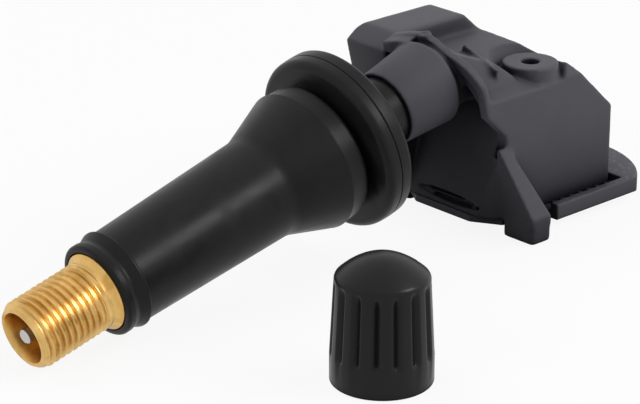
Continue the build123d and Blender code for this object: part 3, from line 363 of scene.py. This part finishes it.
def thread_ridge(name, root, crest, start, turns, steps):
    """Helical thread tooth round Z: a strip narrowed to its crest, swept up the thread, with capped ends."""
    clear_selection()
    middle = (crest + root) / 2 * MM
    bpy.ops.mesh.primitive_plane_add(
        size=1, location=(middle, 0, start * MM), rotation=(math.pi / 2, 0, 0),
    )
    ridge = bpy.context.object
    ridge.name = name
    ridge.scale = (abs(crest - root) * MM, TOOTH_FOOT * PITCH * MM, 1)
    place_here()
    bpy.ops.object.mode_set(mode="EDIT")
    bpy.ops.mesh.delete(type="ONLY_FACE")

    def on_crest(co):
        """A vertex at the crest's radius."""
        return abs(co.x - crest * MM) < TOUCH

    pick(ridge, on_crest)
    bpy.ops.transform.resize(value=(1, 1, TOOTH_CREST), center_override=(crest * MM, 0, start * MM))
    bpy.ops.mesh.subdivide(number_cuts=1)
    pick(ridge, lambda co: on_crest(co) and abs(co.z - start * MM) < TOUCH)
    bpy.ops.transform.translate(value=((crest - root) * TOOTH_CROWN * MM, 0, 0))
    bpy.ops.object.mode_set(mode="OBJECT")
    sweep(ridge, "thread", steps, PITCH * MM, turns)
    cap_ends()
    return ridge


def moulded_copy(node, name, cell, passes, share):
    """Copy of a CAD node remeshed in fine cells and eased, so that its edges get a moulded radius."""
    take(nodes[node])
    bpy.ops.object.duplicate()
    piece = bpy.context.object
    piece.name = name
    bpy.ops.object.parent_clear(type="CLEAR_KEEP_TRANSFORM")
    place_here()
    piece.data.materials.clear()
    bpy.ops.object.mode_set(mode="EDIT")
    merge_doubles()
    bpy.ops.object.mode_set(mode="OBJECT")
    work(piece, "cells", "REMESH", mode="VOXEL", voxel_size=cell * MM, adaptivity=0)
    work(piece, "ease", "SMOOTH", factor=0.5, iterations=passes)
    work(piece, "flats", "DECIMATE", decimate_type="COLLAPSE", ratio=share)
    return piece


def round_off(piece, test, passes):
    """In edit mode, eases the vertices whose place passes the test."""
    pick(piece, test)
    bpy.ops.mesh.vertices_smooth(factor=0.5, repeat=passes)


# Pieces

def brass_stem():
    """Threaded stem: rounded lip, thread with its run-in and run-out, flared shoulder, shank and air bore."""
    stem = turned(
        "valve_stem",
        eased([
            (CORE_BORE_R, MOUTH_S, 0), (MOUTH_R, LIP_S + 0.01, 0.08), (LIP_R, LIP_S, 0.12),
            (ROOT_R + 0.12, CHAMFER_S, 0.2), (ROOT_R, ROOT_S, 0), (ROOT_R, THREAD_END_S - 0.3, 0.1),
            (COLLAR_R, THREAD_END_S, 0.2), (COLLAR_R + 0.04, SHOULDER_S - 0.55, 0.5),
            (SHOULDER_R - 0.05, SHOULDER_S - 0.12, 0.12), (SHOULDER_R, SHOULDER_S, 0.06),
            (SHOULDER_R, SHOULDER_END_S, 0), (SHANK_R, SHANK_S, 0), (SHANK_R, SHANK_END_S, 0),
            (SCREW_BORE_R, SHANK_END_S, 0), (SCREW_BORE_R, SCREW_BORE_S, 0),
            (AIR_R, SCREW_BORE_S - 0.2, 0), (AIR_R, AIR_S, 0), (CORE_SEAT_R, CORE_SEAT_END_S, 0),
            (CORE_SEAT_R, CORE_SEAT_S, 0), (CORE_BORE_R, CORE_BORE_END_S, 0), (CORE_BORE_R, MOUTH_S, 0),
        ]),
        128,
    )
    ridge = thread_ridge("stem_thread", ROOT_R - TOOTH_SINK, CREST_R, THREAD_S, THREAD_TURNS, 96)
    blank = turned(
        "thread_blank",
        [
            (0, RUN_IN_S), (ROOT_R - 0.05, RUN_IN_S), (CREST_R + 0.04, THREAD_FULL_S),
            (CREST_R + 0.04, THREAD_END_S), (ROOT_R - 0.05, RUN_OUT_S), (0, RUN_OUT_S),
        ],
        96,
    )
    keep_inside(ridge, blank)
    join(stem, ridge)
    lay_on_stem(stem)
    smooth(stem, 40)
    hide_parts("brass_stem")
    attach(stem, "sensor")
    return stem


def return_spring():
    """Coil spring of the valve core."""
    clear_selection()
    low = SPRING_START_S + SPRING_WIRE / 2
    span = SPRING_END_S - SPRING_START_S - SPRING_WIRE
    bpy.ops.mesh.primitive_circle_add(
        vertices=10, radius=SPRING_WIRE / 2 * MM, location=(SPRING_R * MM, 0, low * MM),
        rotation=(math.pi / 2, 0, 0),
    )
    coil = bpy.context.object
    coil.name = "return_spring"
    place_here()
    sweep(coil, "coil", 32, span / SPRING_TURNS * MM, SPRING_TURNS)
    cap_ends()
    lay_on_stem(coil)
    smooth(coil, 50)
    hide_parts("core_spring")
    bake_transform(coil)
    return coil


def rubber_body():
    """Snap-in rubber: lip, waist, thin bead, tapered body, bulb, rim groove, double flange and rear neck."""
    body = turned(
        "rubber_body_skin",
        eased([
            (SHOULDER_HOLE_R, RIM_S + 0.25, 0), (SHOULDER_HOLE_R + 0.14, RIM_S - 0.1, 0.15),
            (RIM_R, RIM_S, 0.4), (RIM_R, RIM_END_S, 0.3), (WAIST_R, WAIST_S, 0.6),
            (BEAD_R, BEAD_S - 0.07, 0.08), (BEAD_R, BEAD_S + 0.07, 0.05),
            (CONE_R, CONE_S, 0.1), (CONE_END_R, CONE_END_S, 4.0),
            (BULB_R, BULB_S, 0.12), (BULB_R - 0.13, BULB_S + 0.1, 0.05), (BULB_END_R, BULB_END_S, 0.6),
            (GROOVE_R, GROOVE_S, 0.3), (GROOVE_R, GROOVE_END_S, 0.25),
            (FLANGE_R - 0.1, FLANGE_S, 1.0), (FLANGE_R, FLANGE_SEAM_S - 0.05, 0.12),
            (FLANGE_R - FLANGE_SEAM_DEPTH, FLANGE_SEAM_S, 0.03), (FLANGE_R, FLANGE_SEAM_S + 0.05, 0.12),
            (FLANGE_R - 0.04, FLANGE_END_S, 0.6), (NECK_R, FLANGE_END_S, 0.5),
            (NECK_R - 0.02, NECK_END_S, 0.1), (SHANK_HOLE_R, NECK_END_S, 0),
            (SHANK_HOLE_R, SHANK_S + 0.02, 0), (SHOULDER_HOLE_R, SHOULDER_END_S, 0),
            (SHOULDER_HOLE_R, RIM_S + 0.25, 0),
        ]),
        144,
    )
    lay_on_stem(body)
    smooth(body, 50)
    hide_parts("rubber_body")
    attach(body, "sensor")
    return body


def housing():
    """Moulded housing with eased edges, rounder on the tower, the right wall and the roof bar."""
    shell = moulded_copy("sensor_housing", "housing_shell", 0.16, 6, 0.45)

    def on_roof_bar(co):
        """A vertex in the zone of the bar on the roof."""
        along = BAR_X * MM < co.x < BAR_END_X * MM
        across = abs(co.y - BAR_Y * MM) < BAR_REACH * MM
        return along and across and co.z > FLOOR + BAR_H * MM

    take(shell)
    bpy.ops.object.mode_set(mode="EDIT")
    round_off(shell, lambda co: co.y > TOWER_Y * MM and co.z > FLOOR + TOWER_H * MM, 16)
    round_off(shell, lambda co: co.y < WALL_Y * MM, 10)
    round_off(shell, on_roof_bar, 9)
    bpy.ops.object.mode_set(mode="OBJECT")
    smooth(shell, 60)
    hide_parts("sensor_housing")
    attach(shell, "sensor")
    return shell


def plate():
    """Base plate with eased edges and low ribs in the trench beside the wall."""
    tray = moulded_copy("base_plate", "base_tray", 0.14, 3, 0.45)
    level = FLOOR + PLATE_TOP_H * MM

    def on_rib(co):
        """A vertex that stands above the plate, in the trench."""
        across = TRENCH_RIGHT_Y * MM < co.y < TRENCH_LEFT_Y * MM
        return across and co.x < TRENCH_END_X * MM and co.z > level + 0.06 * MM

    take(tray)
    bpy.ops.object.mode_set(mode="EDIT")
    pick(tray, on_rib)
    bpy.ops.transform.resize(value=(1, 1, RIB_SHARE), center_override=(0, 0, level))
    bpy.ops.object.mode_set(mode="OBJECT")
    smooth(tray, 60)
    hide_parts("base_plate")
    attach(tray, "sensor")
    return tray


def cut_flutes(cap, heights):
    """Draws the cap's skin in towards its axis, row by row, to V grooves that fade out at both ends."""
    sides = FLUTES * FLUTE_SIDES
    bpy.ops.object.mode_set(mode="EDIT")
    for height in heights:
        run_in = ramp(CAP_BAND_H, CAP_BAND_H + 0.6, height)
        run_out = 1 - 0.85 * ramp(EAVES_H - 1.6, EAVES_H, height)
        for place in range(FLUTE_HALF):

            def in_flute(co, height=height, place=place):
                """A vertex of this row and of this place across a flute."""
                if abs(co.z - height * MM) > 10 * TOUCH or math.hypot(co.x, co.y) < CAP_SKIN_R * MM:
                    return False
                turn = round(math.atan2(co.y, co.x) / (2 * math.pi) * sides)
                return abs((turn + FLUTE_SIDES // 2) % FLUTE_SIDES - FLUTE_SIDES // 2) == place

            pick(cap, in_flute)
            shrink = 1 - FLUTE_DEPTH * run_in * run_out * (1 - place / FLUTE_HALF) / CAP_R
            bpy.ops.transform.resize(value=(shrink, shrink, 1), center_override=(0, 0, height * MM))
    bpy.ops.object.mode_set(mode="OBJECT")


def dust_cap():
    """Valve cap: plain band, grip flutes with rounded ends, soft shoulder, domed crown, threaded bore."""
    heights = [CAP_BAND_H + (FLUTE_TOP_H - CAP_BAND_H) * row / CAP_ROWS for row in range(CAP_ROWS + 1)]
    slope = (CAP_R - CAP_TOP_R) / (EAVES_H - CAP_BAND_H)
    taper = [(CAP_R - slope * (height - CAP_BAND_H), height, 0) for height in heights]
    rings = [DOME_SHARE * (1 - ring / DOME_RINGS) for ring in range(DOME_RINGS)]
    dome = [(CAP_TOP_R * ring, EAVES_H + DOME_RISE * (1 - ring ** 2), 0) for ring in rings]
    outline = eased([
        (CAP_BORE_R, CAP_BORE_H, 0), (CAP_BORE_R, 0.5, 0.2), (CAP_BORE_R + 0.4, 0, 0.3), (CAP_R, 0, 0.3),
        *taper, (CAP_TOP_R, EAVES_H, 0.8), *dome,
        (0, CAP_H, 0), (0, CAP_BORE_H, 0), (CAP_BORE_R, CAP_BORE_H, 0),
    ])
    cap = turned("dust_cap", outline, FLUTES * FLUTE_SIDES)
    cut_flutes(cap, heights)
    ridge = thread_ridge(
        "cap_thread", CAP_BORE_R + 0.03, CAP_BORE_R - CAP_THREAD_DEPTH, CAP_THREAD_H, CAP_THREAD_TURNS, 64,
    )
    join(cap, ridge)
    cap.location = (CAP_X * MM, CAP_Y * MM, FLOOR)
    cap.rotation_euler = (0, 0, FLUTE_TURN)
    place_here()
    smooth(cap, 45)
    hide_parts("valve_cap")
    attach(cap, "sensor")
    return cap


# Materials

def add(tree, kind, values=None, **settings):
    """A shader node with its settings and the values of its inputs."""
    made = tree.nodes.new(kind)
    for key, value in settings.items():
        setattr(made, key, value)
    for key, value in (values or {}).items():
        made.inputs[key].default_value = value
    return made


def group(name, inputs, outputs):
    """An empty shader node group with float or vector inputs and outputs."""
    tree = bpy.data.node_groups.new(name, "ShaderNodeTree")
    for label, kind in inputs:
        tree.interface.new_socket(name=label, in_out="INPUT", socket_type=kind)
    for label, kind in outputs:
        tree.interface.new_socket(name=label, in_out="OUTPUT", socket_type=kind)
    return tree, tree.nodes.new("NodeGroupInput"), tree.nodes.new("NodeGroupOutput")


def grain_group():
    """Fine mould grain as a height, and broad mottling as a mask."""
    tree, given, out = group(
        "mould_grain",
        [("Vector", "NodeSocketVector"), ("Grain", "NodeSocketFloat"), ("Patches", "NodeSocketFloat")],
        [("Height", "NodeSocketFloat"), ("Mottle", "NodeSocketFloat")],
    )
    fine = add(tree, "ShaderNodeTexNoise", {"Detail": 3.0, "Roughness": 0.6})
    broad = add(tree, "ShaderNodeTexNoise", {"Detail": 4.0, "Roughness": 0.55, "Distortion": 0.6})
    spread = add(tree, "ShaderNodeMapRange", {"From Min": 0.3, "From Max": 0.7})
    link = tree.links.new
    link(given.outputs["Vector"], fine.inputs["Vector"])
    link(given.outputs["Grain"], fine.inputs["Scale"])
    link(given.outputs["Vector"], broad.inputs["Vector"])
    link(given.outputs["Patches"], broad.inputs["Scale"])
    link(broad.outputs["Fac"], spread.inputs["Value"])
    link(fine.outputs["Fac"], out.inputs["Height"])
    link(spread.outputs["Result"], out.inputs["Mottle"])
    return tree


def edge_wear_and_glint_group():
    """Mask of the outer edges, lightened partly by handling wear and partly as a painted highlight, as on the
    thread crests.
    """
    tree, given, out = group(
        "rubbed_edges_and_glints",
        [("Radius", "NodeSocketFloat"), ("Gain", "NodeSocketFloat")],
        [("Mask", "NodeSocketFloat")],
    )
    rounded = add(tree, "ShaderNodeBevel", samples=4)
    facing = add(tree, "ShaderNodeNewGeometry")
    dot = add(tree, "ShaderNodeVectorMath", operation="DOT_PRODUCT")
    lack = add(tree, "ShaderNodeMath", {0: 1.0}, operation="SUBTRACT")
    gain = add(tree, "ShaderNodeMath", operation="MULTIPLY", use_clamp=True)
    link = tree.links.new
    link(given.outputs["Radius"], rounded.inputs["Radius"])
    link(rounded.outputs["Normal"], dot.inputs[0])
    link(facing.outputs["Normal"], dot.inputs[1])
    link(dot.outputs["Value"], lack.inputs[1])
    link(lack.outputs["Value"], gain.inputs[0])
    link(given.outputs["Gain"], gain.inputs[1])
    link(gain.outputs["Value"], out.inputs["Mask"])
    return tree


def turning_group():
    """Fine rings that a lathe leaves round the stem, as a height along the stem axis."""
    tree, given, out = group(
        "turning_marks",
        [("Vector", "NodeSocketVector"), ("Scale", "NodeSocketFloat")],
        [("Height", "NodeSocketFloat")],
    )
    station = add(tree, "ShaderNodeVectorMath", {1: ALONG}, operation="DOT_PRODUCT")
    rings = add(tree, "ShaderNodeTexNoise", {"Detail": 2.0}, noise_dimensions="1D")
    link = tree.links.new
    link(given.outputs["Vector"], station.inputs[0])
    link(given.outputs["Scale"], rings.inputs["Scale"])
    link(station.outputs["Value"], rings.inputs["W"])
    link(rings.outputs["Fac"], out.inputs["Height"])
    return tree


def speckle_group():
    """Small round specks on faces that look up."""
    tree, given, out = group(
        "speckle",
        [("Vector", "NodeSocketVector"), ("Scale", "NodeSocketFloat")],
        [("Mask", "NodeSocketFloat")],
    )
    dots = add(tree, "ShaderNodeTexVoronoi")
    spot = add(
        tree, "ShaderNodeMapRange", {"From Min": 0.2, "From Max": 0.34, "To Min": 1.0, "To Max": 0.0},
    )
    facing = add(tree, "ShaderNodeNewGeometry")
    parts = add(tree, "ShaderNodeSeparateXYZ")
    level = add(tree, "ShaderNodeMapRange", {"From Min": 0.9, "From Max": 0.97})
    both = add(tree, "ShaderNodeMath", operation="MULTIPLY")
    link = tree.links.new
    link(given.outputs["Vector"], dots.inputs["Vector"])
    link(given.outputs["Scale"], dots.inputs["Scale"])
    link(dots.outputs["Distance"], spot.inputs["Value"])
    link(facing.outputs["Normal"], parts.inputs["Vector"])
    link(parts.outputs["Z"], level.inputs["Value"])
    link(spot.outputs["Result"], both.inputs[0])
    link(level.outputs["Result"], both.inputs[1])
    link(both.outputs["Value"], out.inputs["Mask"])
    return tree


def painted_shade_group():
    """Mask of painted shade in corners and recesses, from ambient occlusion: there the colour darkens and the
    finish dulls.
    """
    tree, given, out = group(
        "painted_crevice_shade",
        [("Reach", "NodeSocketFloat")],
        [("Mask", "NodeSocketFloat")],
    )
    open_sky = add(tree, "ShaderNodeAmbientOcclusion", samples=6)
    shade = add(
        tree, "ShaderNodeMapRange", {"From Min": 0.35, "From Max": 0.95, "To Min": 1.0, "To Max": 0.0},
    )
    link = tree.links.new
    link(given.outputs["Reach"], open_sky.inputs["Distance"])
    link(open_sky.outputs["AO"], shade.inputs["Value"])
    link(shade.outputs["Result"], out.inputs["Mask"])
    return tree


GRAIN = grain_group()
EDGE_WEAR_AND_GLINT = edge_wear_and_glint_group()
TURNING = turning_group()
SPECKLE = speckle_group()
PAINTED_SHADE = painted_shade_group()


def finish(
    name, dark, light, rough, grain, bump, metal=0.0, specular=0.5, patches=90.0,
    edge=None, specks=None, marks=0.0, painted_recess_shade=None,
):
    """Procedural finish: two tones mixed by mottling, roughness that wanders and fine grain in the normal.
    Options are lighter edges, partly rubbed wear and partly painted highlight (tone, radius, gain), specks
    (tone, scale), turning marks (their scale) and painted shade in recesses, darker and duller (tone, reach)."""
    made = bpy.data.materials.new(name)
    made.use_nodes = True
    tree = made.node_tree
    shader = tree.nodes["Principled BSDF"]
    link = tree.links.new
    place = add(tree, "ShaderNodeTexCoord")

    def effect(kind, **values):
        """One of the shared groups, with its values."""
        node = add(tree, "ShaderNodeGroup", values, node_tree=kind)
        if "Vector" in node.inputs:
            link(place.outputs["Object"], node.inputs["Vector"])
        return node

    def mixed(colour, tone, factor):
        """The colour, changed to a tone by a factor."""
        mix = add(tree, "ShaderNodeMix", data_type="RGBA")
        mix.inputs["B"].default_value = (*tone, 1)
        link(colour, mix.inputs["A"])
        link(factor, mix.inputs["Factor"])
        return mix.outputs["Result"]

    texture = effect(GRAIN, Grain=grain, Patches=patches)
    tone = add(tree, "ShaderNodeMix", data_type="RGBA")
    tone.inputs["A"].default_value = (*dark, 1)
    tone.inputs["B"].default_value = (*light, 1)
    link(texture.outputs["Mottle"], tone.inputs["Factor"])
    colour = tone.outputs["Result"]
    gloss = add(tree, "ShaderNodeMapRange", {"To Min": rough[0], "To Max": rough[1]})
    link(texture.outputs["Mottle"], gloss.inputs["Value"])
    roughness = gloss.outputs["Result"]
    height = texture.outputs["Height"]
    if specks:
        colour = mixed(colour, specks[0], effect(SPECKLE, Scale=specks[1]).outputs["Mask"])
    # Lighter outer edges: partly handling wear, partly painted highlight.
    if edge:
        colour = mixed(colour, edge[0], effect(EDGE_WEAR_AND_GLINT, Radius=edge[1] * MM, Gain=edge[2]).outputs["Mask"])
    # Painted shade: corners and recesses darkened to a shade tone and made duller.
    if painted_recess_shade:
        shade = effect(PAINTED_SHADE, Reach=painted_recess_shade[1] * MM).outputs["Mask"]
        colour = mixed(colour, painted_recess_shade[0], shade)
        dull = add(tree, "ShaderNodeMath", operation="MAXIMUM")
        link(roughness, dull.inputs[0])
        link(shade, dull.inputs[1])
        roughness = dull.outputs["Value"]
    if marks:
        total = add(tree, "ShaderNodeMath", operation="ADD")
        link(height, total.inputs[0])
        link(effect(TURNING, Scale=marks).outputs["Height"], total.inputs[1])
        height = total.outputs["Value"]
    relief = add(tree, "ShaderNodeBump", {"Strength": bump, "Distance": 0.1 * MM})
    link(height, relief.inputs["Height"])
    link(colour, shader.inputs["Base Color"])
    link(roughness, shader.inputs["Roughness"])
    link(relief.outputs["Normal"], shader.inputs["Normal"])
    shader.inputs["Specular IOR Level"].default_value = specular
    shader.inputs["Metallic"].default_value = metal
    return made


def dress(piece, made):
    """Gives a piece or a CAD node one finish."""
    piece.data.materials.clear()
    piece.data.materials.append(made)


stem = brass_stem()
spring = return_spring()
rubber = rubber_body()
shell = housing()
tray = plate()
cap = dust_cap()

LATHE_MARKS = 9000.0
RESIN_DARK = (0.058, 0.057, 0.066)
RESIN_LIGHT = (0.067, 0.066, 0.076)

# The brass's near-white edge tone paints bright lines on the thread crests: partly rubbed wear, partly
# painted highlight.
brass = finish(
    "turned_brass", (0.50, 0.28, 0.065), (0.80, 0.53, 0.19), (0.28, 0.4), grain=2500.0, bump=0.03,
    metal=1.0, patches=420.0, edge=((0.95, 0.78, 0.60), 0.08, 2.0), marks=LATHE_MARKS,
)
core_brass = finish(
    "core_brass", (0.66, 0.36, 0.08), (0.80, 0.48, 0.14), (0.3, 0.45), grain=2500.0, bump=0.08,
    metal=1.0, marks=LATHE_MARKS,
)
pin_steel = finish(
    "pin_steel", (0.46, 0.45, 0.44), (0.60, 0.59, 0.58), (0.28, 0.4), grain=3000.0, bump=0.08,
    metal=1.0, marks=LATHE_MARKS,
)
stem_rubber = finish(
    "stem_rubber", (0.0085, 0.0078, 0.0079), (0.0130, 0.0120, 0.0122), (0.27, 0.44), grain=2600.0, bump=0.1,
    specular=0.13, patches=200.0,
)
# Painted shade in the housing's pocket, corners and recesses, over a reach of 14 mm.
housing_resin = finish(
    "housing_resin", RESIN_DARK, RESIN_LIGHT, (0.48, 0.58), grain=3600.0, bump=0.16, specular=0.12,
    edge=((0.090, 0.089, 0.102), 0.25, 1.4), painted_recess_shade=((0.006, 0.006, 0.008), 14.0),
)
# Painted shade in the trench of the base plate and at the foot of the wall.
plate_resin = finish(
    "plate_resin", RESIN_DARK, RESIN_LIGHT, (0.48, 0.58), grain=3600.0, bump=0.16, specular=0.12,
    specks=((0.11, 0.11, 0.12), 1500.0), painted_recess_shade=((0.010, 0.010, 0.012), 5.0),
)
# Painted shade in the bottoms of the cap's flutes.
cap_resin = finish(
    "cap_resin", (0.0080, 0.0074, 0.0074), (0.0115, 0.0108, 0.0108), (0.26, 0.34), grain=2800.0, bump=0.05,
    specular=0.18, painted_recess_shade=((0.002, 0.0019, 0.0019), 1.2),
)
seal_resin = finish(
    "seal_resin", (0.55, 0.52, 0.45), (0.68, 0.65, 0.58), (0.4, 0.5), grain=2500.0, bump=0.08,
)
spring_steel = finish(
    "spring_steel", (0.42, 0.42, 0.42), (0.55, 0.55, 0.55), (0.25, 0.35), grain=3000.0, bump=0.05, metal=1.0,
)
screw_steel = finish(
    "screw_steel", (0.34, 0.34, 0.35), (0.48, 0.48, 0.49), (0.28, 0.42), grain=2600.0, bump=0.08, metal=1.0,
)
laminate = finish(
    "board_laminate", (0.010, 0.075, 0.035), (0.016, 0.105, 0.05), (0.3, 0.42), grain=1800.0, bump=0.06,
    patches=500.0,
)
cell_steel = finish(
    "cell_steel", (0.58, 0.58, 0.57), (0.70, 0.70, 0.69), (0.2, 0.3), grain=2600.0, bump=0.05, metal=1.0,
)
nickel = finish(
    "tab_nickel", (0.55, 0.53, 0.48), (0.66, 0.64, 0.58), (0.28, 0.38), grain=2600.0, bump=0.05, metal=1.0,
)
chip_resin = finish(
    "chip_resin", (0.014, 0.014, 0.015), (0.024, 0.024, 0.026), (0.5, 0.62), grain=4200.0, bump=0.2,
)
gasket = finish(
    "gasket_rubber", (0.016, 0.016, 0.017), (0.028, 0.028, 0.030), (0.6, 0.7), grain=2600.0, bump=0.12,
)
# The filter felt is nearly black and barely glossy, standing in for the shade deep in the port hole: painted
# shade.
felt = finish(
    "filter_felt", (0.003, 0.003, 0.003), (0.006, 0.006, 0.006), (0.8, 0.9), grain=5200.0, bump=0.5,
    specular=0.02,
)
ferrite = finish(
    "ferrite", (0.030, 0.029, 0.030), (0.048, 0.046, 0.046), (0.42, 0.55), grain=3200.0, bump=0.15,
)
copper = finish(
    "winding_copper", (0.45, 0.17, 0.07), (0.62, 0.26, 0.11), (0.25, 0.36), grain=5200.0, bump=0.3, metal=1.0,
)
tin = finish(
    "antenna_metal", (0.56, 0.56, 0.55), (0.68, 0.68, 0.67), (0.26, 0.36), grain=2600.0, bump=0.05, metal=1.0,
)
ceramic = finish(
    "capacitor_ceramic", (0.34, 0.24, 0.15), (0.44, 0.32, 0.21), (0.45, 0.55), grain=3000.0, bump=0.1,
)
seal_rubber = finish(
    "cap_seal_rubber", (0.018, 0.018, 0.018), (0.030, 0.030, 0.030), (0.6, 0.7), grain=2600.0, bump=0.12,
)

dress(stem, brass)
dress(spring, spring_steel)
dress(rubber, stem_rubber)
dress(shell, housing_resin)
dress(tray, plate_resin)
dress(cap, cap_resin)
for name, made in {
    "core_plug": core_brass,
    "core_barrel": core_brass,
    "core_seal": seal_resin,
    "core_pin": pin_steel,
    "core_washer": seal_rubber,
    "stem_screw": screw_steel,
    "circuit_board": laminate,
    "battery_cell": cell_steel,
    "battery_tab_lower": nickel,
    "battery_tab_upper": nickel,
    "pressure_chip": chip_resin,
    "port_gasket": gasket,
    "port_filter": felt,
    "coil_core": ferrite,
    "coil_winding": copper,
    "antenna": tin,
    "crystal_can": tin,
    "controller_chip": chip_resin,
    "tuning_capacitor": ceramic,
    "cap_seal": seal_rubber,
}.items():
    dress(nodes[name], made)


# Floor, light and camera

def seen_rays(tree):
    """A value of 1 for rays from the camera, in reflections and through glass, and 0 for other light."""
    ray = add(tree, "ShaderNodeLightPath")
    direct = add(tree, "ShaderNodeMath", operation="ADD", use_clamp=True)
    seen = add(tree, "ShaderNodeMath", operation="ADD", use_clamp=True)
    link = tree.links.new
    link(ray.outputs["Is Camera Ray"], direct.inputs[0])
    link(ray.outputs["Is Glossy Ray"], direct.inputs[1])
    link(direct.outputs["Value"], seen.inputs[0])
    link(ray.outputs["Is Transmission Ray"], seen.inputs[1])
    return seen.outputs["Value"]


def floor(grey, whiteness):
    """Wide pale floor that is white to the camera and in reflections, and keeps a soft shadow."""
    clear_selection()
    bpy.ops.mesh.primitive_plane_add(size=3.0, location=(0, 0, FLOOR))
    sheet = bpy.context.object
    sheet.name = "floor"
    place_here()
    made = bpy.data.materials.new("pale_floor")
    made.use_nodes = True
    tree = made.node_tree
    shader = tree.nodes["Principled BSDF"]
    shader.inputs["Base Color"].default_value = (grey, grey, grey, 1)
    shader.inputs["Roughness"].default_value = 0.9
    shader.inputs["Specular IOR Level"].default_value = 0.1
    white = add(tree, "ShaderNodeEmission", {"Color": (1, 1, 1, 1), "Strength": 1.0})
    share = add(tree, "ShaderNodeMath", {1: whiteness}, operation="MULTIPLY")
    blend = add(tree, "ShaderNodeMixShader")
    link = tree.links.new
    link(seen_rays(tree), share.inputs[0])
    link(share.outputs["Value"], blend.inputs["Fac"])
    link(shader.outputs["BSDF"], blend.inputs[1])
    link(white.outputs["Emission"], blend.inputs[2])
    link(blend.outputs["Shader"], tree.nodes["Material Output"].inputs["Surface"])
    dress(sheet, made)


def studio_world(strength):
    """Even white surroundings: full white to the camera and in reflections, weaker as light."""
    world = bpy.data.worlds.new("studio")
    bpy.context.scene.world = world
    world.use_nodes = True
    tree = world.node_tree
    back = tree.nodes["Background"]
    back.inputs["Color"].default_value = (1, 1, 1, 1)
    level = add(tree, "ShaderNodeMapRange", {"To Min": strength, "To Max": 1.0})
    link = tree.links.new
    link(seen_rays(tree), level.inputs["Value"])
    link(level.outputs["Result"], back.inputs["Strength"])


def softbox(name, place, size, power, mirrored=False):
    """Square area light turned to the rim groove, with or without a reflection of its own."""
    clear_selection()
    bpy.ops.object.light_add(type="AREA", location=place)
    lamp = bpy.context.object
    lamp.name = name
    lamp.data.size = size
    lamp.data.energy = power
    lamp.visible_glossy = mirrored
    lamp.rotation_euler = (-Vector(place)).to_track_quat("-Z", "Y").to_euler()


def camera():
    """Camera at the photograph's angle: 21.5 degrees down, from the right of the stem's tip."""
    clear_selection()
    bpy.ops.object.camera_add(location=CAMERA_PLACE)
    view = bpy.context.object
    view.data.sensor_fit = "HORIZONTAL"
    view.data.sensor_width = CAMERA_SENSOR
    view.data.lens = CAMERA_LENS
    view.rotation_euler = Vector(CAMERA_LOOK).to_track_quat("-Z", "Y").to_euler()
    bpy.context.scene.camera = view


floor(grey=0.62, whiteness=0.9)
studio_world(0.05)
softbox("key", (0.22, -0.44, 0.38), size=0.22, power=1.6, mirrored=True)
softbox("side", (0.44, -0.28, 0.32), size=0.45, power=2.8)
softbox("top", (-0.06, 0.34, 0.52), size=0.45, power=2.2)
softbox("tip", (-0.50, 0.02, 0.26), size=0.35, power=1.5)
camera()
bpy.context.scene.view_settings.view_transform = "Standard"
